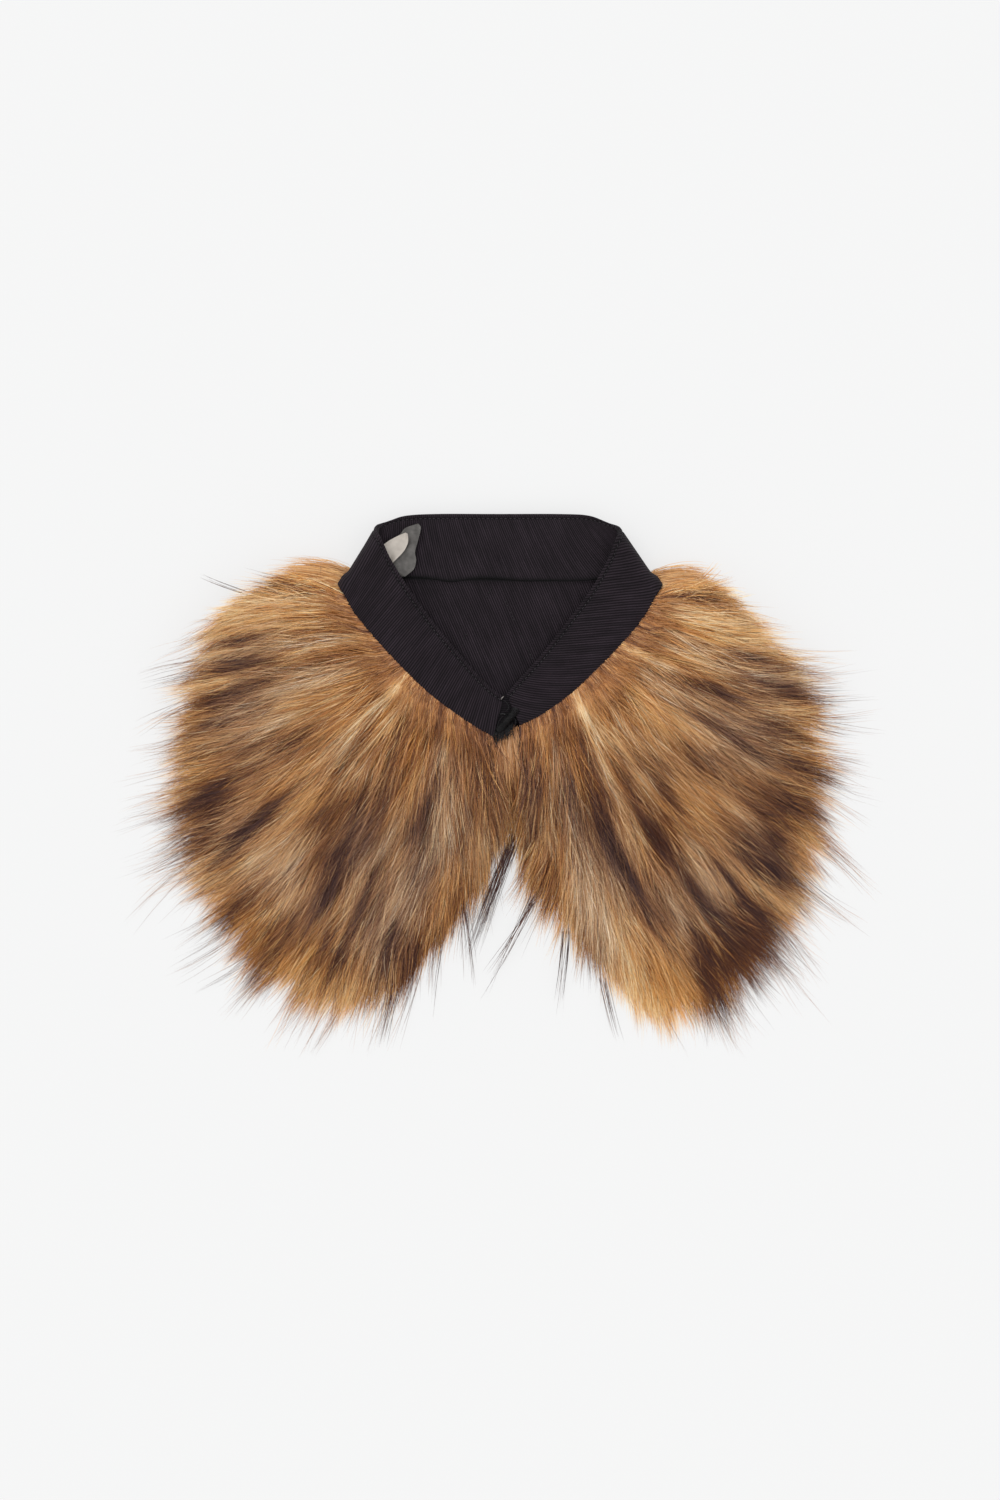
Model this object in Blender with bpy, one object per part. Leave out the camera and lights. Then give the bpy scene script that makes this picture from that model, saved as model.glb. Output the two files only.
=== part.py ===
"""Fur collar on a twill neck stand, laid flat on a surface with its front panels over its back.

Units are metres, +Z is up and z = 0 is the surface. X runs across the shoulders and +Y points up the neck.
From below: pile of the back, lining of the back, lining of a front, pile of a front. The stand is a flattened
ring of two plies. Along its seam edge the plies open and hold the edges of the fur and of the lining between
them. Every collar panel is a fan of lines that leave that seam edge, so its tables hold one row for each line.
"""

import math
import random
from collections import namedtuple

import bmesh
import bpy
from mathutils import Vector

MM = 0.001

# Thicknesses, in millimetres.
TWILL = 1.2
PLY_GAP = 0.3
FUR_MARGIN = 1.5
LABEL_WALL = 1.0

# The collar's edges reach this far in between the stand's plies, which close up over the next stretch.
TUCK = 5.0
PLIES_MEET = 5.0

# The back lies on the surface with its lining on top, and thins out towards its hem.
BACK_HEIGHT = 15.4
BACK_HEM_MIDDLE = -53.4
BACK_HEM_SHOULDER = 26.4
BACK_HALF_WIDTH = 210.0
HEM_TAPER = 60.0
BACK_TIP_LIFT = 0.5
BACK_TIP_WALL = 0.8

# A front lies on the back, clears its hem by this much in plan, and then lies on the surface.
FRONT_CLEARANCE = 0.6
FRONT_OVERLAP = 10.0
SETTLE_LENGTH = 70.0

# Pile: how far from the seam it reaches its full loft, and how far from its tips it starts to thin out.
PILE_RISE = 30.0
PILE_FALL = 62.0
FALL_SHARE = 0.62

# The pile lies in locks, which show as ridges and as points along the hem.
FRONT_LOCKS = 28
BACK_LOCKS = 28
RIDGE_HEIGHT = 1.7
LOCK_CREST = 4.5
LOCK_VALLEY = -6.5
LOCK_VARIETY = 4.0
FULL_LOCK_REACH = 160.0

# The stand's two legs, from the closing to the fold at the shoulder, and its back, from the left fold to the
# right one. Millimetres, at the middle of the two plies: the seam edge and the topstitched upper edge.
StandSection = namedtuple("StandSection", "seam_x seam_y seam_z top_x top_y top_z")
LEFT_LEG = (
    StandSection(-4.5, 25.2, 19.2, 1.2, 49.0, 17.6),
    StandSection(-20.1, 34.2, 19.2, -8.7, 57.6, 17.7),
    StandSection(-42.3, 50.4, 19.3, -23.7, 74.4, 18.1),
    StandSection(-61.5, 69.0, 19.7, -38.7, 92.4, 19.2),
    StandSection(-78.3, 89.4, 20.9, -53.7, 112.8, 20.8),
    StandSection(-87.6, 102.6, 22.4, -65.1, 130.8, 22.2),
    StandSection(-92.0, 111.0, 23.2, -70.5, 142.2, 23.0),
)
BACK_BAND = (
    StandSection(-89.4, 117.6, 14.1, -67.2, 155.4, 10.2),
    StandSection(-69.9, 120.6, 14.05, -56.4, 158.6, 9.6),
    StandSection(-42.9, 120.6, 14.05, -36.0, 159.6, 9.2),
    StandSection(0.0, 120.0, 14.05, 0.0, 159.6, 9.0),
    StandSection(41.1, 120.0, 14.05, 36.3, 159.6, 9.2),
    StandSection(69.0, 120.0, 14.05, 53.1, 158.6, 9.6),
    StandSection(89.4, 117.0, 14.1, 64.2, 154.6, 10.2),
)
RIGHT_LEG = (
    StandSection(9.9, 30.6, 19.2, 4.8, 52.2, 17.6),
    StandSection(26.1, 39.0, 19.2, 11.7, 60.6, 17.7),
    StandSection(44.1, 52.2, 19.3, 23.7, 73.8, 18.1),
    StandSection(62.7, 70.2, 19.7, 38.7, 93.0, 19.2),
    StandSection(78.0, 88.8, 20.9, 54.3, 114.0, 20.8),
    StandSection(87.0, 102.0, 22.4, 64.5, 132.0, 22.2),
    StandSection(91.4, 110.4, 23.2, 68.4, 142.0, 23.0),
)
FOLD_BULGE = 4.6
FOLD_STEPS = 9
ROW_STEPS = 3
ACROSS_SHARES = (0.0, 0.15, 0.28, 0.62, 1.0)

# Fan lines of the fronts, from the closing to the shoulder, and of the back, from the left to the right.
# station: where the line leaves the stand, as a row of a leg or of the back. bearing: degrees anticlockwise
# from +X, of the line's middle. reach: seam to pile tips. curl: turn of the bearing on the way. overhang:
# pile past the cut edge of the cloth. loft: height of the pile. edge: thickness at the tips.
FrontLine = namedtuple("FrontLine", "station bearing reach curl overhang loft edge")
LEFT_FRONT = (
    FrontLine(0.00, 274.5, 68.0, -24.0, 30.0, 15.0, 3.5),
    FrontLine(0.12, 267.5, 86.0, -8.0, 31.0, 17.0, 3.5),
    FrontLine(0.40, 263.0, 128.0, 0.0, 33.0, 20.0, 2.5),
    FrontLine(0.95, 257.0, 162.0, -3.0, 35.0, 22.0, 2.5),
    FrontLine(1.30, 251.0, 202.0, -4.0, 36.0, 23.0, 2.5),
    FrontLine(1.85, 244.0, 205.0, -5.0, 37.0, 24.0, 2.5),
    FrontLine(2.35, 236.0, 197.0, -8.0, 37.0, 24.0, 2.5),
    FrontLine(2.85, 229.0, 191.0, -12.0, 37.0, 24.0, 2.5),
    FrontLine(3.30, 222.0, 178.0, -14.0, 37.0, 24.0, 3.0),
    FrontLine(3.75, 214.0, 172.0, -16.0, 36.0, 23.0, 3.0),
    FrontLine(4.15, 208.0, 147.0, -16.0, 35.0, 22.0, 4.0),
    FrontLine(4.60, 202.0, 114.0, -15.0, 31.0, 20.0, 5.5),
    FrontLine(4.95, 195.0, 90.0, -20.0, 28.0, 18.0, 7.0),
    FrontLine(5.30, 182.0, 65.0, -36.0, 26.0, 15.0, 7.0),
    FrontLine(5.62, 163.0, 47.0, -44.0, 20.0, 13.0, 7.0),
    FrontLine(5.85, 143.0, 39.0, -52.0, 17.0, 11.0, 7.0),
    FrontLine(6.00, 131.0, 27.0, -50.0, 12.0, 8.0, 6.0),
)
RIGHT_FRONT = (
    FrontLine(0.00, 265.3, 74.0, 24.0, 30.0, 15.0, 3.5),
    FrontLine(0.15, 272.0, 100.0, 8.0, 31.0, 18.0, 3.5),
    FrontLine(0.50, 277.5, 131.0, 0.0, 33.0, 20.0, 2.5),
    FrontLine(1.00, 281.0, 157.0, 3.0, 35.0, 22.0, 2.5),
    FrontLine(1.35, 286.5, 200.0, 4.0, 36.0, 23.0, 2.5),
    FrontLine(1.85, 295.5, 214.0, 5.0, 37.0, 24.0, 2.5),
    FrontLine(2.35, 303.5, 202.0, 8.0, 37.0, 24.0, 2.5),
    FrontLine(2.85, 310.5, 191.0, 12.0, 37.0, 24.0, 2.5),
    FrontLine(3.30, 318.5, 176.0, 14.0, 37.0, 24.0, 3.0),
    FrontLine(3.75, 325.5, 164.0, 16.0, 36.0, 23.0, 3.0),
    FrontLine(4.15, 332.5, 130.0, 16.0, 34.0, 22.0, 4.0),
    FrontLine(4.60, 338.0, 102.0, 15.0, 30.0, 20.0, 5.5),
    FrontLine(4.95, 345.5, 78.0, 20.0, 27.0, 18.0, 7.0),
    FrontLine(5.30, 358.5, 56.0, 36.0, 24.0, 15.0, 7.0),
    FrontLine(5.62, 377.0, 40.0, 44.0, 18.0, 13.0, 7.0),
    FrontLine(5.85, 397.0, 33.0, 50.0, 15.0, 11.0, 7.0),
    FrontLine(6.00, 410.0, 24.0, 46.0, 11.0, 8.0, 6.0),
)
BackLine = namedtuple("BackLine", "station bearing reach curl overhang")
BACK = (
    BackLine(0.62, 177.0, 62.0, -76.0, 20.0),
    BackLine(0.72, 190.0, 83.0, -44.0, 26.0),
    BackLine(0.82, 202.0, 106.0, -26.0, 28.0),
    BackLine(0.95, 211.0, 132.0, -12.0, 31.0),
    BackLine(1.10, 218.0, 161.0, -6.0, 34.0),
    BackLine(1.35, 227.0, 162.0, -2.0, 36.0),
    BackLine(1.70, 239.0, 159.0, 0.0, 37.0),
    BackLine(2.10, 253.5, 161.0, 0.0, 37.0),
    BackLine(2.55, 263.0, 167.0, 0.0, 37.0),
    BackLine(3.00, 270.0, 170.0, 0.0, 37.0),
    BackLine(3.45, 277.0, 167.0, 0.0, 37.0),
    BackLine(3.90, 286.5, 161.0, 0.0, 37.0),
    BackLine(4.30, 301.0, 156.0, 0.0, 37.0),
    BackLine(4.65, 312.0, 151.0, 2.0, 36.0),
    BackLine(4.90, 323.0, 143.0, 6.0, 33.0),
    BackLine(5.05, 329.5, 117.0, 12.0, 30.0),
    BackLine(5.18, 338.0, 94.0, 26.0, 27.0),
    BackLine(5.28, 350.0, 71.0, 44.0, 24.0),
    BackLine(5.38, 363.0, 53.0, 76.0, 18.0),
)

# Rows of each panel, from the seam to the tips, as shares of the reach or of the reach to the cloth's cut edge.
# SEAM_STEP is where a panel comes out from between the plies. Past 0.9 a lock's point or hollow takes part.
SEAM_STEP = 0.4
PILE_SHARES = (0.09, 0.18, 0.3, 0.43, 0.56, 0.69, 0.81, 0.92, 1.0)
CLOTH_SHARES = (0.12, 0.3, 0.43, 0.54, 0.63, 0.72, 0.81, 0.9, 1.0)
BACK_PILE_SHARES = (0.03, 0.1, 0.2, 0.45, 0.7, 0.84, 0.92, 1.0)
BACK_CLOTH_SHARES = (0.12, 0.45, 0.62, 0.74, 0.87, 1.0)

# Blank label on the inner ply of the back, held at its upper edge, with its lower edge curling off the cloth.
# Rows of the back at the label's left and right edges, above and below, and its shares across the stand.
LABEL_LEFT = (0.98, 0.85)
LABEL_RIGHT = (1.3, 1.6)
LABEL_ACROSS = (0.92, 0.1)
LABEL_CELLS = 8
LABEL_LIFT = 0.5
LABEL_CURL = 2.6

# Hook of the right end, caught in the eye of the left end. Routes of the wires, in millimetres.
HOOK_WIRE = 1.4
HOOK_ROUTE = (
    (7.9, 37.9, 19.2),
    (7.1, 37.5, 19.9),
    (5.8, 36.9, 20.4),
    (4.4, 36.2, 20.5),
    (3.0, 35.5, 20.3),
    (2.0, 35.0, 19.6),
    (1.6, 34.8, 18.5),
    (2.0, 35.0, 17.4),
    (3.0, 35.5, 16.7),
    (4.4, 36.2, 16.6),
    (5.6, 36.8, 16.7),
)
EYE_WIRE = 1.2
EYE_ROUTE = (
    (-2.6, 31.6, 18.6),
    (-1.9, 30.2, 18.6),
    (-0.6, 29.2, 18.6),
    (1.2, 28.8, 18.6),
    (3.0, 29.4, 18.6),
    (4.4, 31.0, 18.6),
    (5.0, 33.4, 18.6),
    (4.8, 35.8, 18.6),
    (4.0, 37.8, 18.6),
    (2.6, 39.0, 18.6),
    (1.2, 39.2, 18.4),
    (-0.2, 38.8, 18.3),
)
WIRE_STEPS = 2


def smooth(share):
    """0 up to a share of 0, 1 from a share of 1, and an even S between."""
    share = min(max(share, 0.0), 1.0)
    return share * share * (3.0 - 2.0 * share)


def mix(start, end, share):
    return start + (end - start) * share


def between(rows, position):
    """The row at a fractional row number, on a smooth curve through all rows of a table."""
    last = len(rows) - 1
    start = min(max(int(position), 0), last - 1)
    part = position - start
    here, there = rows[start], rows[start + 1]
    before = rows[start - 1] if start > 0 else [2 * a - b for a, b in zip(here, there)]
    after = rows[start + 2] if start + 1 < last else [2 * b - a for a, b in zip(here, there)]
    values = []
    for a, b, c, d in zip(before, here, there, after):
        straight = (c - a) * part
        bend = (2 * a - 5 * b + 4 * c - d) * part**2
        twist = (3 * b - a - 3 * c + d) * part**3
        values.append(b + 0.5 * (straight + bend + twist))
    return here._make(values) if hasattr(here, "_make") else tuple(values)


def section_point(section, across):
    """A point of the stand's middle surface: across is 0 at the seam edge and 1 at the upper edge."""
    seam = Vector((section.seam_x, section.seam_y, section.seam_z))
    top = Vector((section.top_x, section.top_y, section.top_z))
    return seam.lerp(top, across)


def section_width(section):
    return (section_point(section, 1.0) - section_point(section, 0.0)).length


def fold_sections(front, back):
    """The stand's sections round a fold, from a leg's last one to the first one of the back."""
    line = section_point(front, 1.0) - section_point(front, 0.0)
    sideways = Vector((-line.y, line.x, 0.0)).normalized() * (1 if front.seam_x < 0 else -1)
    found = []
    for step in range(1, FOLD_STEPS):
        turn = math.pi * step / FOLD_STEPS
        share = (1.0 - math.cos(turn)) / 2.0
        places = []
        for across in (0.0, 1.0):
            place = section_point(front, across).lerp(section_point(back, across), share)
            places += list(place + sideways * FOLD_BULGE * math.sin(turn))
        found.append(StandSection(*places))
    return found


def stand_ring():
    """All sections of the stand, from the left end round the back to the right end."""
    ring = []
    for rows in (LEFT_LEG, BACK_BAND, RIGHT_LEG[::-1]):
        if ring:
            first, second = ring[-1], rows[0]
            bend = fold_sections(first, second) if rows is BACK_BAND else fold_sections(second, first)[::-1]
            ring += bend
        steps = (len(rows) - 1) * ROW_STEPS
        ring += [between(rows, step / ROW_STEPS) for step in range(steps + 1)]
    return ring


def ring_normal(ring, index, across):
    """The unit normal of the stand at a section of the ring, towards the side that shows when it is worn."""
    before = section_point(ring[max(index - 1, 0)], across)
    after = section_point(ring[min(index + 1, len(ring) - 1)], across)
    up = section_point(ring[index], 1.0) - section_point(ring[index], 0.0)
    return up.cross(after - before).normalized()


def plies_opening(section, across, held):
    """How far a ply stands off the middle surface, for what it holds along the seam edge."""
    past_tuck = across * section_width(section) - TUCK
    return PLY_GAP / 2 + (held + PLY_GAP) * (1.0 - smooth(past_tuck / PLIES_MEET))


def back_height(x, y):
    """Height of the back's upper side over the surface."""
    hem = BACK_HEM_MIDDLE + (BACK_HEM_SHOULDER - BACK_HEM_MIDDLE) * (x / BACK_HALF_WIDTH) ** 2
    return BACK_HEIGHT * smooth((y - hem) / HEM_TAPER)


def front_height(x, y):
    """Height of a front's lower side over the surface."""
    return back_height(x, y + FRONT_OVERLAP) * (1.0 + FRONT_CLEARANCE / BACK_HEIGHT)


def front_rest(x, y):
    """Height of the boundary of fur and lining in a front that lies down."""
    return front_height(x, y) + TWILL + PLY_GAP / 2


def back_rest(x, y):
    """Height of the boundary of fur and lining in the back."""
    return back_height(x, y) - TWILL - PLY_GAP / 2


class Panel:
    """A collar panel: its fan lines, what they leave, and how its boundary of fur and lining lies."""

    def __init__(self, table, stand, locks, resting, up):
        self.stand = stand
        self.resting = resting
        self.up = up
        self.columns = self.spread(table, locks)

    @staticmethod
    def spread(table, locks):
        """(line, ridge, tooth) for each column: a lock's crest is between two valleys."""
        dice = random.Random(locks)
        found = []
        for column in range(2 * locks + 1):
            line = between(table, column / (2 * locks) * (len(table) - 1))
            crest = column % 2 == 1
            tooth = LOCK_CREST + dice.uniform(-1, 1) * LOCK_VARIETY if crest else LOCK_VALLEY
            tooth *= min(line.reach / FULL_LOCK_REACH, 1.0)
            found.append((line, RIDGE_HEIGHT if crest else -RIDGE_HEIGHT, tooth))
        return found

    def section(self, line):
        return between(self.stand, line.station)

    def tucked(self, line, offset):
        """A point of the panel's inner edge, between the plies, that far above the boundary."""
        section = self.section(line)
        return section_point(section, TUCK / section_width(section)) + Vector((0.0, 0.0, offset))

    def place(self, line, distance):
        """The place in plan at that distance from the seam, along a fan line that is an arc."""
        x, y, _ = section_point(self.section(line), 0.0)
        steps = 8
        for step in range(steps):
            share = (step + 0.5) / steps * distance / line.reach
            bearing = math.radians(line.bearing + line.curl * (share - 0.5))
            x += math.cos(bearing) * distance / steps
            y += math.sin(bearing) * distance / steps
        return x, y

    def boundary(self, line, distance, x, y):
        """Height of the boundary of fur and lining, from the stand's height down to where it rests."""
        lift = self.section(line).seam_z - self.resting(*self.place(line, 0.0))
        return self.resting(x, y) + lift * (1.0 - smooth(distance / SETTLE_LENGTH))

    def cloth_rows(self, line, shares):
        """(x, y, z) of the boundary from where it leaves the plies to the cut edge of the cloth."""
        cut = line.reach - line.overhang
        found = []
        for distance in [SEAM_STEP] + [share * cut for share in shares]:
            x, y = self.place(line, distance)
            found.append((x, y, self.boundary(line, distance, x, y)))
        return found

    def lining_column(self, line, shares, offset):
        """One side of the lining, that far below the boundary as worn, and never under the surface."""
        column = [self.tucked(line, -self.up * offset)]
        for x, y, z in self.cloth_rows(line, shares):
            column.append(Vector((x, y, max(z - self.up * offset, 0.0))))
        return column

    def backing_column(self, line, shares, tooth, tip_height):
        """The side of the pile that lies on its lining, and goes past the cut edge to the tips."""
        offset = self.up * PLY_GAP / 2
        column = [self.tucked(line, offset)]
        for x, y, z in self.cloth_rows(line, shares):
            column.append(Vector((x, y, z + offset)))
        x, y = self.place(line, line.reach + tooth)
        column.append(Vector((x, y, tip_height(x, y))))
        return column

    def pile_rows(self, line, shares, tooth):
        """(share, distance, x, y) of the pile's rows past the seam, with the lock's point or hollow."""
        for share in shares:
            part = smooth((share - 0.88) / 0.12)
            distance = share * line.reach + part * tooth
            yield share, distance, *self.place(line, distance)


def front_pile_column(panel, line, ridge, tooth):
    """The upper side of a front's pile, from between the plies, over the loft, to the tips."""
    margin = PLY_GAP / 2 + FUR_MARGIN
    x, y = panel.place(line, SEAM_STEP)
    column = [panel.tucked(line, margin)]
    column.append(Vector((x, y, panel.boundary(line, SEAM_STEP, x, y) + margin)))
    fall = min(PILE_FALL, FALL_SHARE * line.reach)
    for share, distance, x, y in panel.pile_rows(line, PILE_SHARES, tooth):
        rise_share = smooth((share * line.reach + 2.0) / PILE_RISE)
        fall_share = 1.0 - smooth(((share - 1.0) * line.reach + fall) / fall) ** 1.3
        pile = FUR_MARGIN + (line.loft - FUR_MARGIN) * rise_share * fall_share + ridge * smooth(share / 0.4)
        tip = smooth((share - 0.8) / 0.2)
        z = panel.boundary(line, distance, x, y) + PLY_GAP / 2 + pile * (1.0 - tip)
        column.append(Vector((x, y, z * (1.0 - tip) + (front_height(x, y) + line.edge) * tip)))
    return column


def back_pile_column(panel, line, tooth):
    """The lower side of the back's pile, from between the plies, down to the surface, to the tips."""
    margin = PLY_GAP / 2 + FUR_MARGIN
    start = panel.section(line).seam_z - margin
    x, y = panel.place(line, SEAM_STEP)
    column = [panel.tucked(line, -margin), Vector((x, y, start))]
    for share, distance, x, y in panel.pile_rows(line, BACK_PILE_SHARES, tooth):
        sunk = smooth(distance / (0.14 * line.reach))
        raised = smooth((share * line.reach - line.reach + line.overhang) / line.overhang)
        lift = BACK_TIP_LIFT * back_height(x, y) * raised
        column.append(Vector((x, y, start * (1.0 - sunk) + lift * sunk)))
    return column


def back_tip_height(x, y):
    """Height of the back's upper side at its tips."""
    return max(back_height(x, y), BACK_TIP_WALL)


def add_strip(mesh, first, second):
    """Triangles between two rows of vertices with the same number of points."""
    for index in range(len(first) - 1):
        mesh.faces.new((first[index], first[index + 1], second[index + 1]))
        mesh.faces.new((first[index], second[index + 1], second[index]))


def add_uneven_strip(mesh, first, second):
    """Triangles between two rows of vertices with different numbers of points, side by side in space."""
    here, there = 0, 0
    while here < len(first) - 1 or there < len(second) - 1:
        step_first = there == len(second) - 1
        if here < len(first) - 1 and not step_first:
            forward = (first[here + 1].co - second[there].co).length
            step_first = forward < (second[there + 1].co - first[here].co).length
        if step_first:
            mesh.faces.new((first[here], first[here + 1], second[there]))
            here += 1
        else:
            mesh.faces.new((first[here], second[there + 1], second[there]))
            there += 1


def add_object(name, mesh, material):
    """Makes the mesh an object with its faces out and its sharp edges kept."""
    bmesh.ops.recalc_face_normals(mesh, faces=mesh.faces)
    data = bpy.data.meshes.new(name)
    mesh.to_mesh(data)
    mesh.free()
    data.materials.append(material)
    data.shade_smooth()
    data.set_sharp_from_angle(angle=math.radians(35))
    made = bpy.data.objects.new(name, data)
    bpy.context.scene.collection.objects.link(made)
    return made


def wall_between(name, one_side, other_side, material):
    """A closed wall between two grids of points in millimetres, listed column by column.

    The other side may have fewer columns and other rows, over the same outline.
    """
    mesh = bmesh.new()
    sides = []
    for grid in (one_side, other_side):
        sides.append([[mesh.verts.new(point * MM) for point in column] for column in grid])
        for column, after in zip(sides[-1], sides[-1][1:]):
            add_strip(mesh, column, after)
    one, other = sides
    for end in (0, -1):
        add_uneven_strip(mesh, [column[end] for column in one], [column[end] for column in other])
        add_uneven_strip(mesh, one[end], other[end])
    return add_object(name, mesh, material)


def surface_material(name, colour, roughness, metallic=0.0):
    """A plain surface of one colour."""
    made = bpy.data.materials.new(name)
    made.use_nodes = True
    shader = made.node_tree.nodes["Principled BSDF"]
    shader.inputs["Base Color"].default_value = (*colour, 1.0)
    shader.inputs["Roughness"].default_value = roughness
    shader.inputs["Metallic"].default_value = metallic
    return made


def build_lining(name, panel, shares, twill):
    """The lining of a panel, on the columns between its locks."""
    lines = [line for line, _, _ in panel.columns[::2]]
    near = [panel.lining_column(line, shares, PLY_GAP / 2) for line in lines]
    far = [panel.lining_column(line, shares, PLY_GAP / 2 + TWILL) for line in lines]
    return wall_between(name, near, far, twill)


def build_front(side, table, leg, fur, twill):
    """One front panel: its pile, and its lining under it."""
    panel = Panel(table, leg, FRONT_LOCKS, front_rest, 1)
    pile = [front_pile_column(panel, *column) for column in panel.columns]
    backing = [
        panel.backing_column(line, CLOTH_SHARES, tooth, front_height) for line, _, tooth in panel.columns[::2]
    ]
    return [
        wall_between(f"fur_{side}_front", pile, backing, fur),
        build_lining(f"lining_{side}_front", panel, CLOTH_SHARES, twill),
    ]


def build_back(fur, twill):
    """The back panel: its pile, flat on the surface, and its lining on top."""
    panel = Panel(BACK, BACK_BAND, BACK_LOCKS, back_rest, -1)
    pile = [back_pile_column(panel, line, tooth) for line, _, tooth in panel.columns]
    backing = [
        panel.backing_column(line, BACK_CLOTH_SHARES, tooth, back_tip_height)
        for line, _, tooth in panel.columns[::2]
    ]
    return [
        wall_between("fur_back", pile, backing, fur),
        build_lining("lining_back", panel, BACK_CLOTH_SHARES, twill),
    ]


def build_ply(name, side, held, twill):
    """One ply of the stand. side is 1 outside and -1 inside; held is the thickness that it closes over."""
    ring = stand_ring()
    near_grid, far_grid = [], []
    for index, section in enumerate(ring):
        near, far = [], []
        for across in ACROSS_SHARES:
            point, normal = section_point(section, across), ring_normal(ring, index, across) * side
            opening = plies_opening(section, across, held)
            near.append(point + normal * opening)
            far.append(point + normal * (opening + TWILL))
        near_grid.append(near)
        far_grid.append(far)
    return wall_between(name, near_grid, far_grid, twill)


def build_label(satin):
    """The blank label, as a wall made from the inner ply's points, moved out."""
    near_grid, far_grid = [], []
    for column in range(LABEL_CELLS + 1):
        part = column / LABEL_CELLS
        wave = 0.5 + 0.5 * math.cos(2.0 * math.pi * part)
        near, far = [], []
        for row in range(LABEL_CELLS + 1):
            share = row / LABEL_CELLS
            across = mix(*LABEL_ACROSS, share)
            section = between(BACK_BAND, mix(mix(*LABEL_LEFT, share), mix(*LABEL_RIGHT, share), part))
            lift = plies_opening(section, across, TWILL) + TWILL + LABEL_LIFT + LABEL_CURL * smooth(share) * wave
            near.append(section_point(section, across) + Vector((0.0, 0.0, lift)))
            far.append(section_point(section, across) + Vector((0.0, 0.0, lift + LABEL_WALL)))
        near_grid.append(near)
        far_grid.append(far)
    return wall_between("label", near_grid, far_grid, satin)


def build_wire(name, route, diameter, metal):
    """A round wire on a smooth curve through a route's points, with filled ends."""
    curve = bpy.data.curves.new(name, "CURVE")
    curve.dimensions = "3D"
    curve.bevel_depth = diameter / 2 * MM
    curve.bevel_resolution = 2
    curve.use_fill_caps = True
    spline = curve.splines.new("POLY")
    count = (len(route) - 1) * WIRE_STEPS + 1
    spline.points.add(count - 1)
    for index, point in enumerate(spline.points):
        point.co = (*(Vector(between(route, index / WIRE_STEPS)) * MM), 1.0)
    curve.materials.append(metal)
    made = bpy.data.objects.new(name, curve)
    bpy.context.scene.collection.objects.link(made)
    return made


def set_origin(objects):
    """Moves the collar so that the middle of its base is the origin."""
    bpy.context.view_layer.update()
    corners = [made.matrix_world @ Vector(corner) for made in objects for corner in made.bound_box]
    low = Vector(min(corner[axis] for corner in corners) for axis in range(3))
    high = Vector(max(corner[axis] for corner in corners) for axis in range(3))
    middle = (low + high) / 2
    for made in objects:
        made.location = (-middle.x, -middle.y, -low.z)


def main():
    for thing in list(bpy.data.objects):
        bpy.data.objects.remove(thing, do_unlink=True)
    fur = surface_material("fur", (0.42, 0.22, 0.08), 0.75)
    twill = surface_material("twill", (0.018, 0.014, 0.018), 0.9)
    satin = surface_material("label_satin", (0.42, 0.39, 0.35), 0.45)
    metal = surface_material("black_metal", (0.02, 0.02, 0.02), 0.4, 1.0)
    objects = [
        build_ply("stand_outer_ply", 1, FUR_MARGIN, twill),
        build_ply("stand_inner_ply", -1, TWILL, twill),
        build_label(satin),
        build_wire("hook", HOOK_ROUTE, HOOK_WIRE, metal),
        build_wire("eye", EYE_ROUTE, EYE_WIRE, metal),
    ]
    objects += build_back(fur, twill)
    objects += build_front("left", LEFT_FRONT, LEFT_LEG, fur, twill)
    objects += build_front("right", RIGHT_FRONT, RIGHT_LEG, fur, twill)
    set_origin(objects)


main()
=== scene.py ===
"""Looks of a fur collar on a twill neck stand, laid flat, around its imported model.

Lengths are in millimetres until a mesh is made. Collar coordinates have x = 0 near the closing, and
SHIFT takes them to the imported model's own origin. The fans and the stand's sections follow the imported
model within a few millimetres: every hair, thread and crease is placed on the surfaces they describe.
"""

import math
from collections import namedtuple
from functools import partial

import bpy
import numpy as np
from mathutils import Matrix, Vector


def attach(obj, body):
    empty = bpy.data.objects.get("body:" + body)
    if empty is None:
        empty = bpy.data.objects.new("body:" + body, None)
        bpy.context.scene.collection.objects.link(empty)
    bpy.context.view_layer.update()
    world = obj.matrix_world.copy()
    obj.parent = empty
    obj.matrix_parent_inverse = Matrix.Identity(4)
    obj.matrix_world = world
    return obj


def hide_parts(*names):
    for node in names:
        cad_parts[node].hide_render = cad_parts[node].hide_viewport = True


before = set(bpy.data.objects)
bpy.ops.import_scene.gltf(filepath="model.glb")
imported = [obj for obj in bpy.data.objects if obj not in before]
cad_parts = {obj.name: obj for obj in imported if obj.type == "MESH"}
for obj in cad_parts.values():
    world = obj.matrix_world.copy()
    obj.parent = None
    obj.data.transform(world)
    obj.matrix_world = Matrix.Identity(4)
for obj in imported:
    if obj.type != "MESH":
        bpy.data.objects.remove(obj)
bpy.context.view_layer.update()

MM = 0.001
BODY = "root"
SHIFT = np.array((3.17, -3.14, 0.0))

# ------------------------------------------------------------
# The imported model's sizes
# ------------------------------------------------------------

TWILL = 1.2
PLY_GAP = 0.3
FUR_MARGIN = 1.5
TUCK = 5.0
PLIES_MEET = 5.0

BACK_HEIGHT = 15.4
BACK_HEM_MIDDLE = -53.4
BACK_HEM_SHOULDER = 26.4
BACK_HALF_WIDTH = 210.0
HEM_TAPER = 60.0
BACK_TIP_LIFT = 0.5
FRONT_CLEARANCE = 0.6
FRONT_OVERLAP = 10.0
SETTLE_LENGTH = 70.0
PILE_RISE = 30.0
PILE_FALL = 62.0
FALL_SHARE = 0.62

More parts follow.
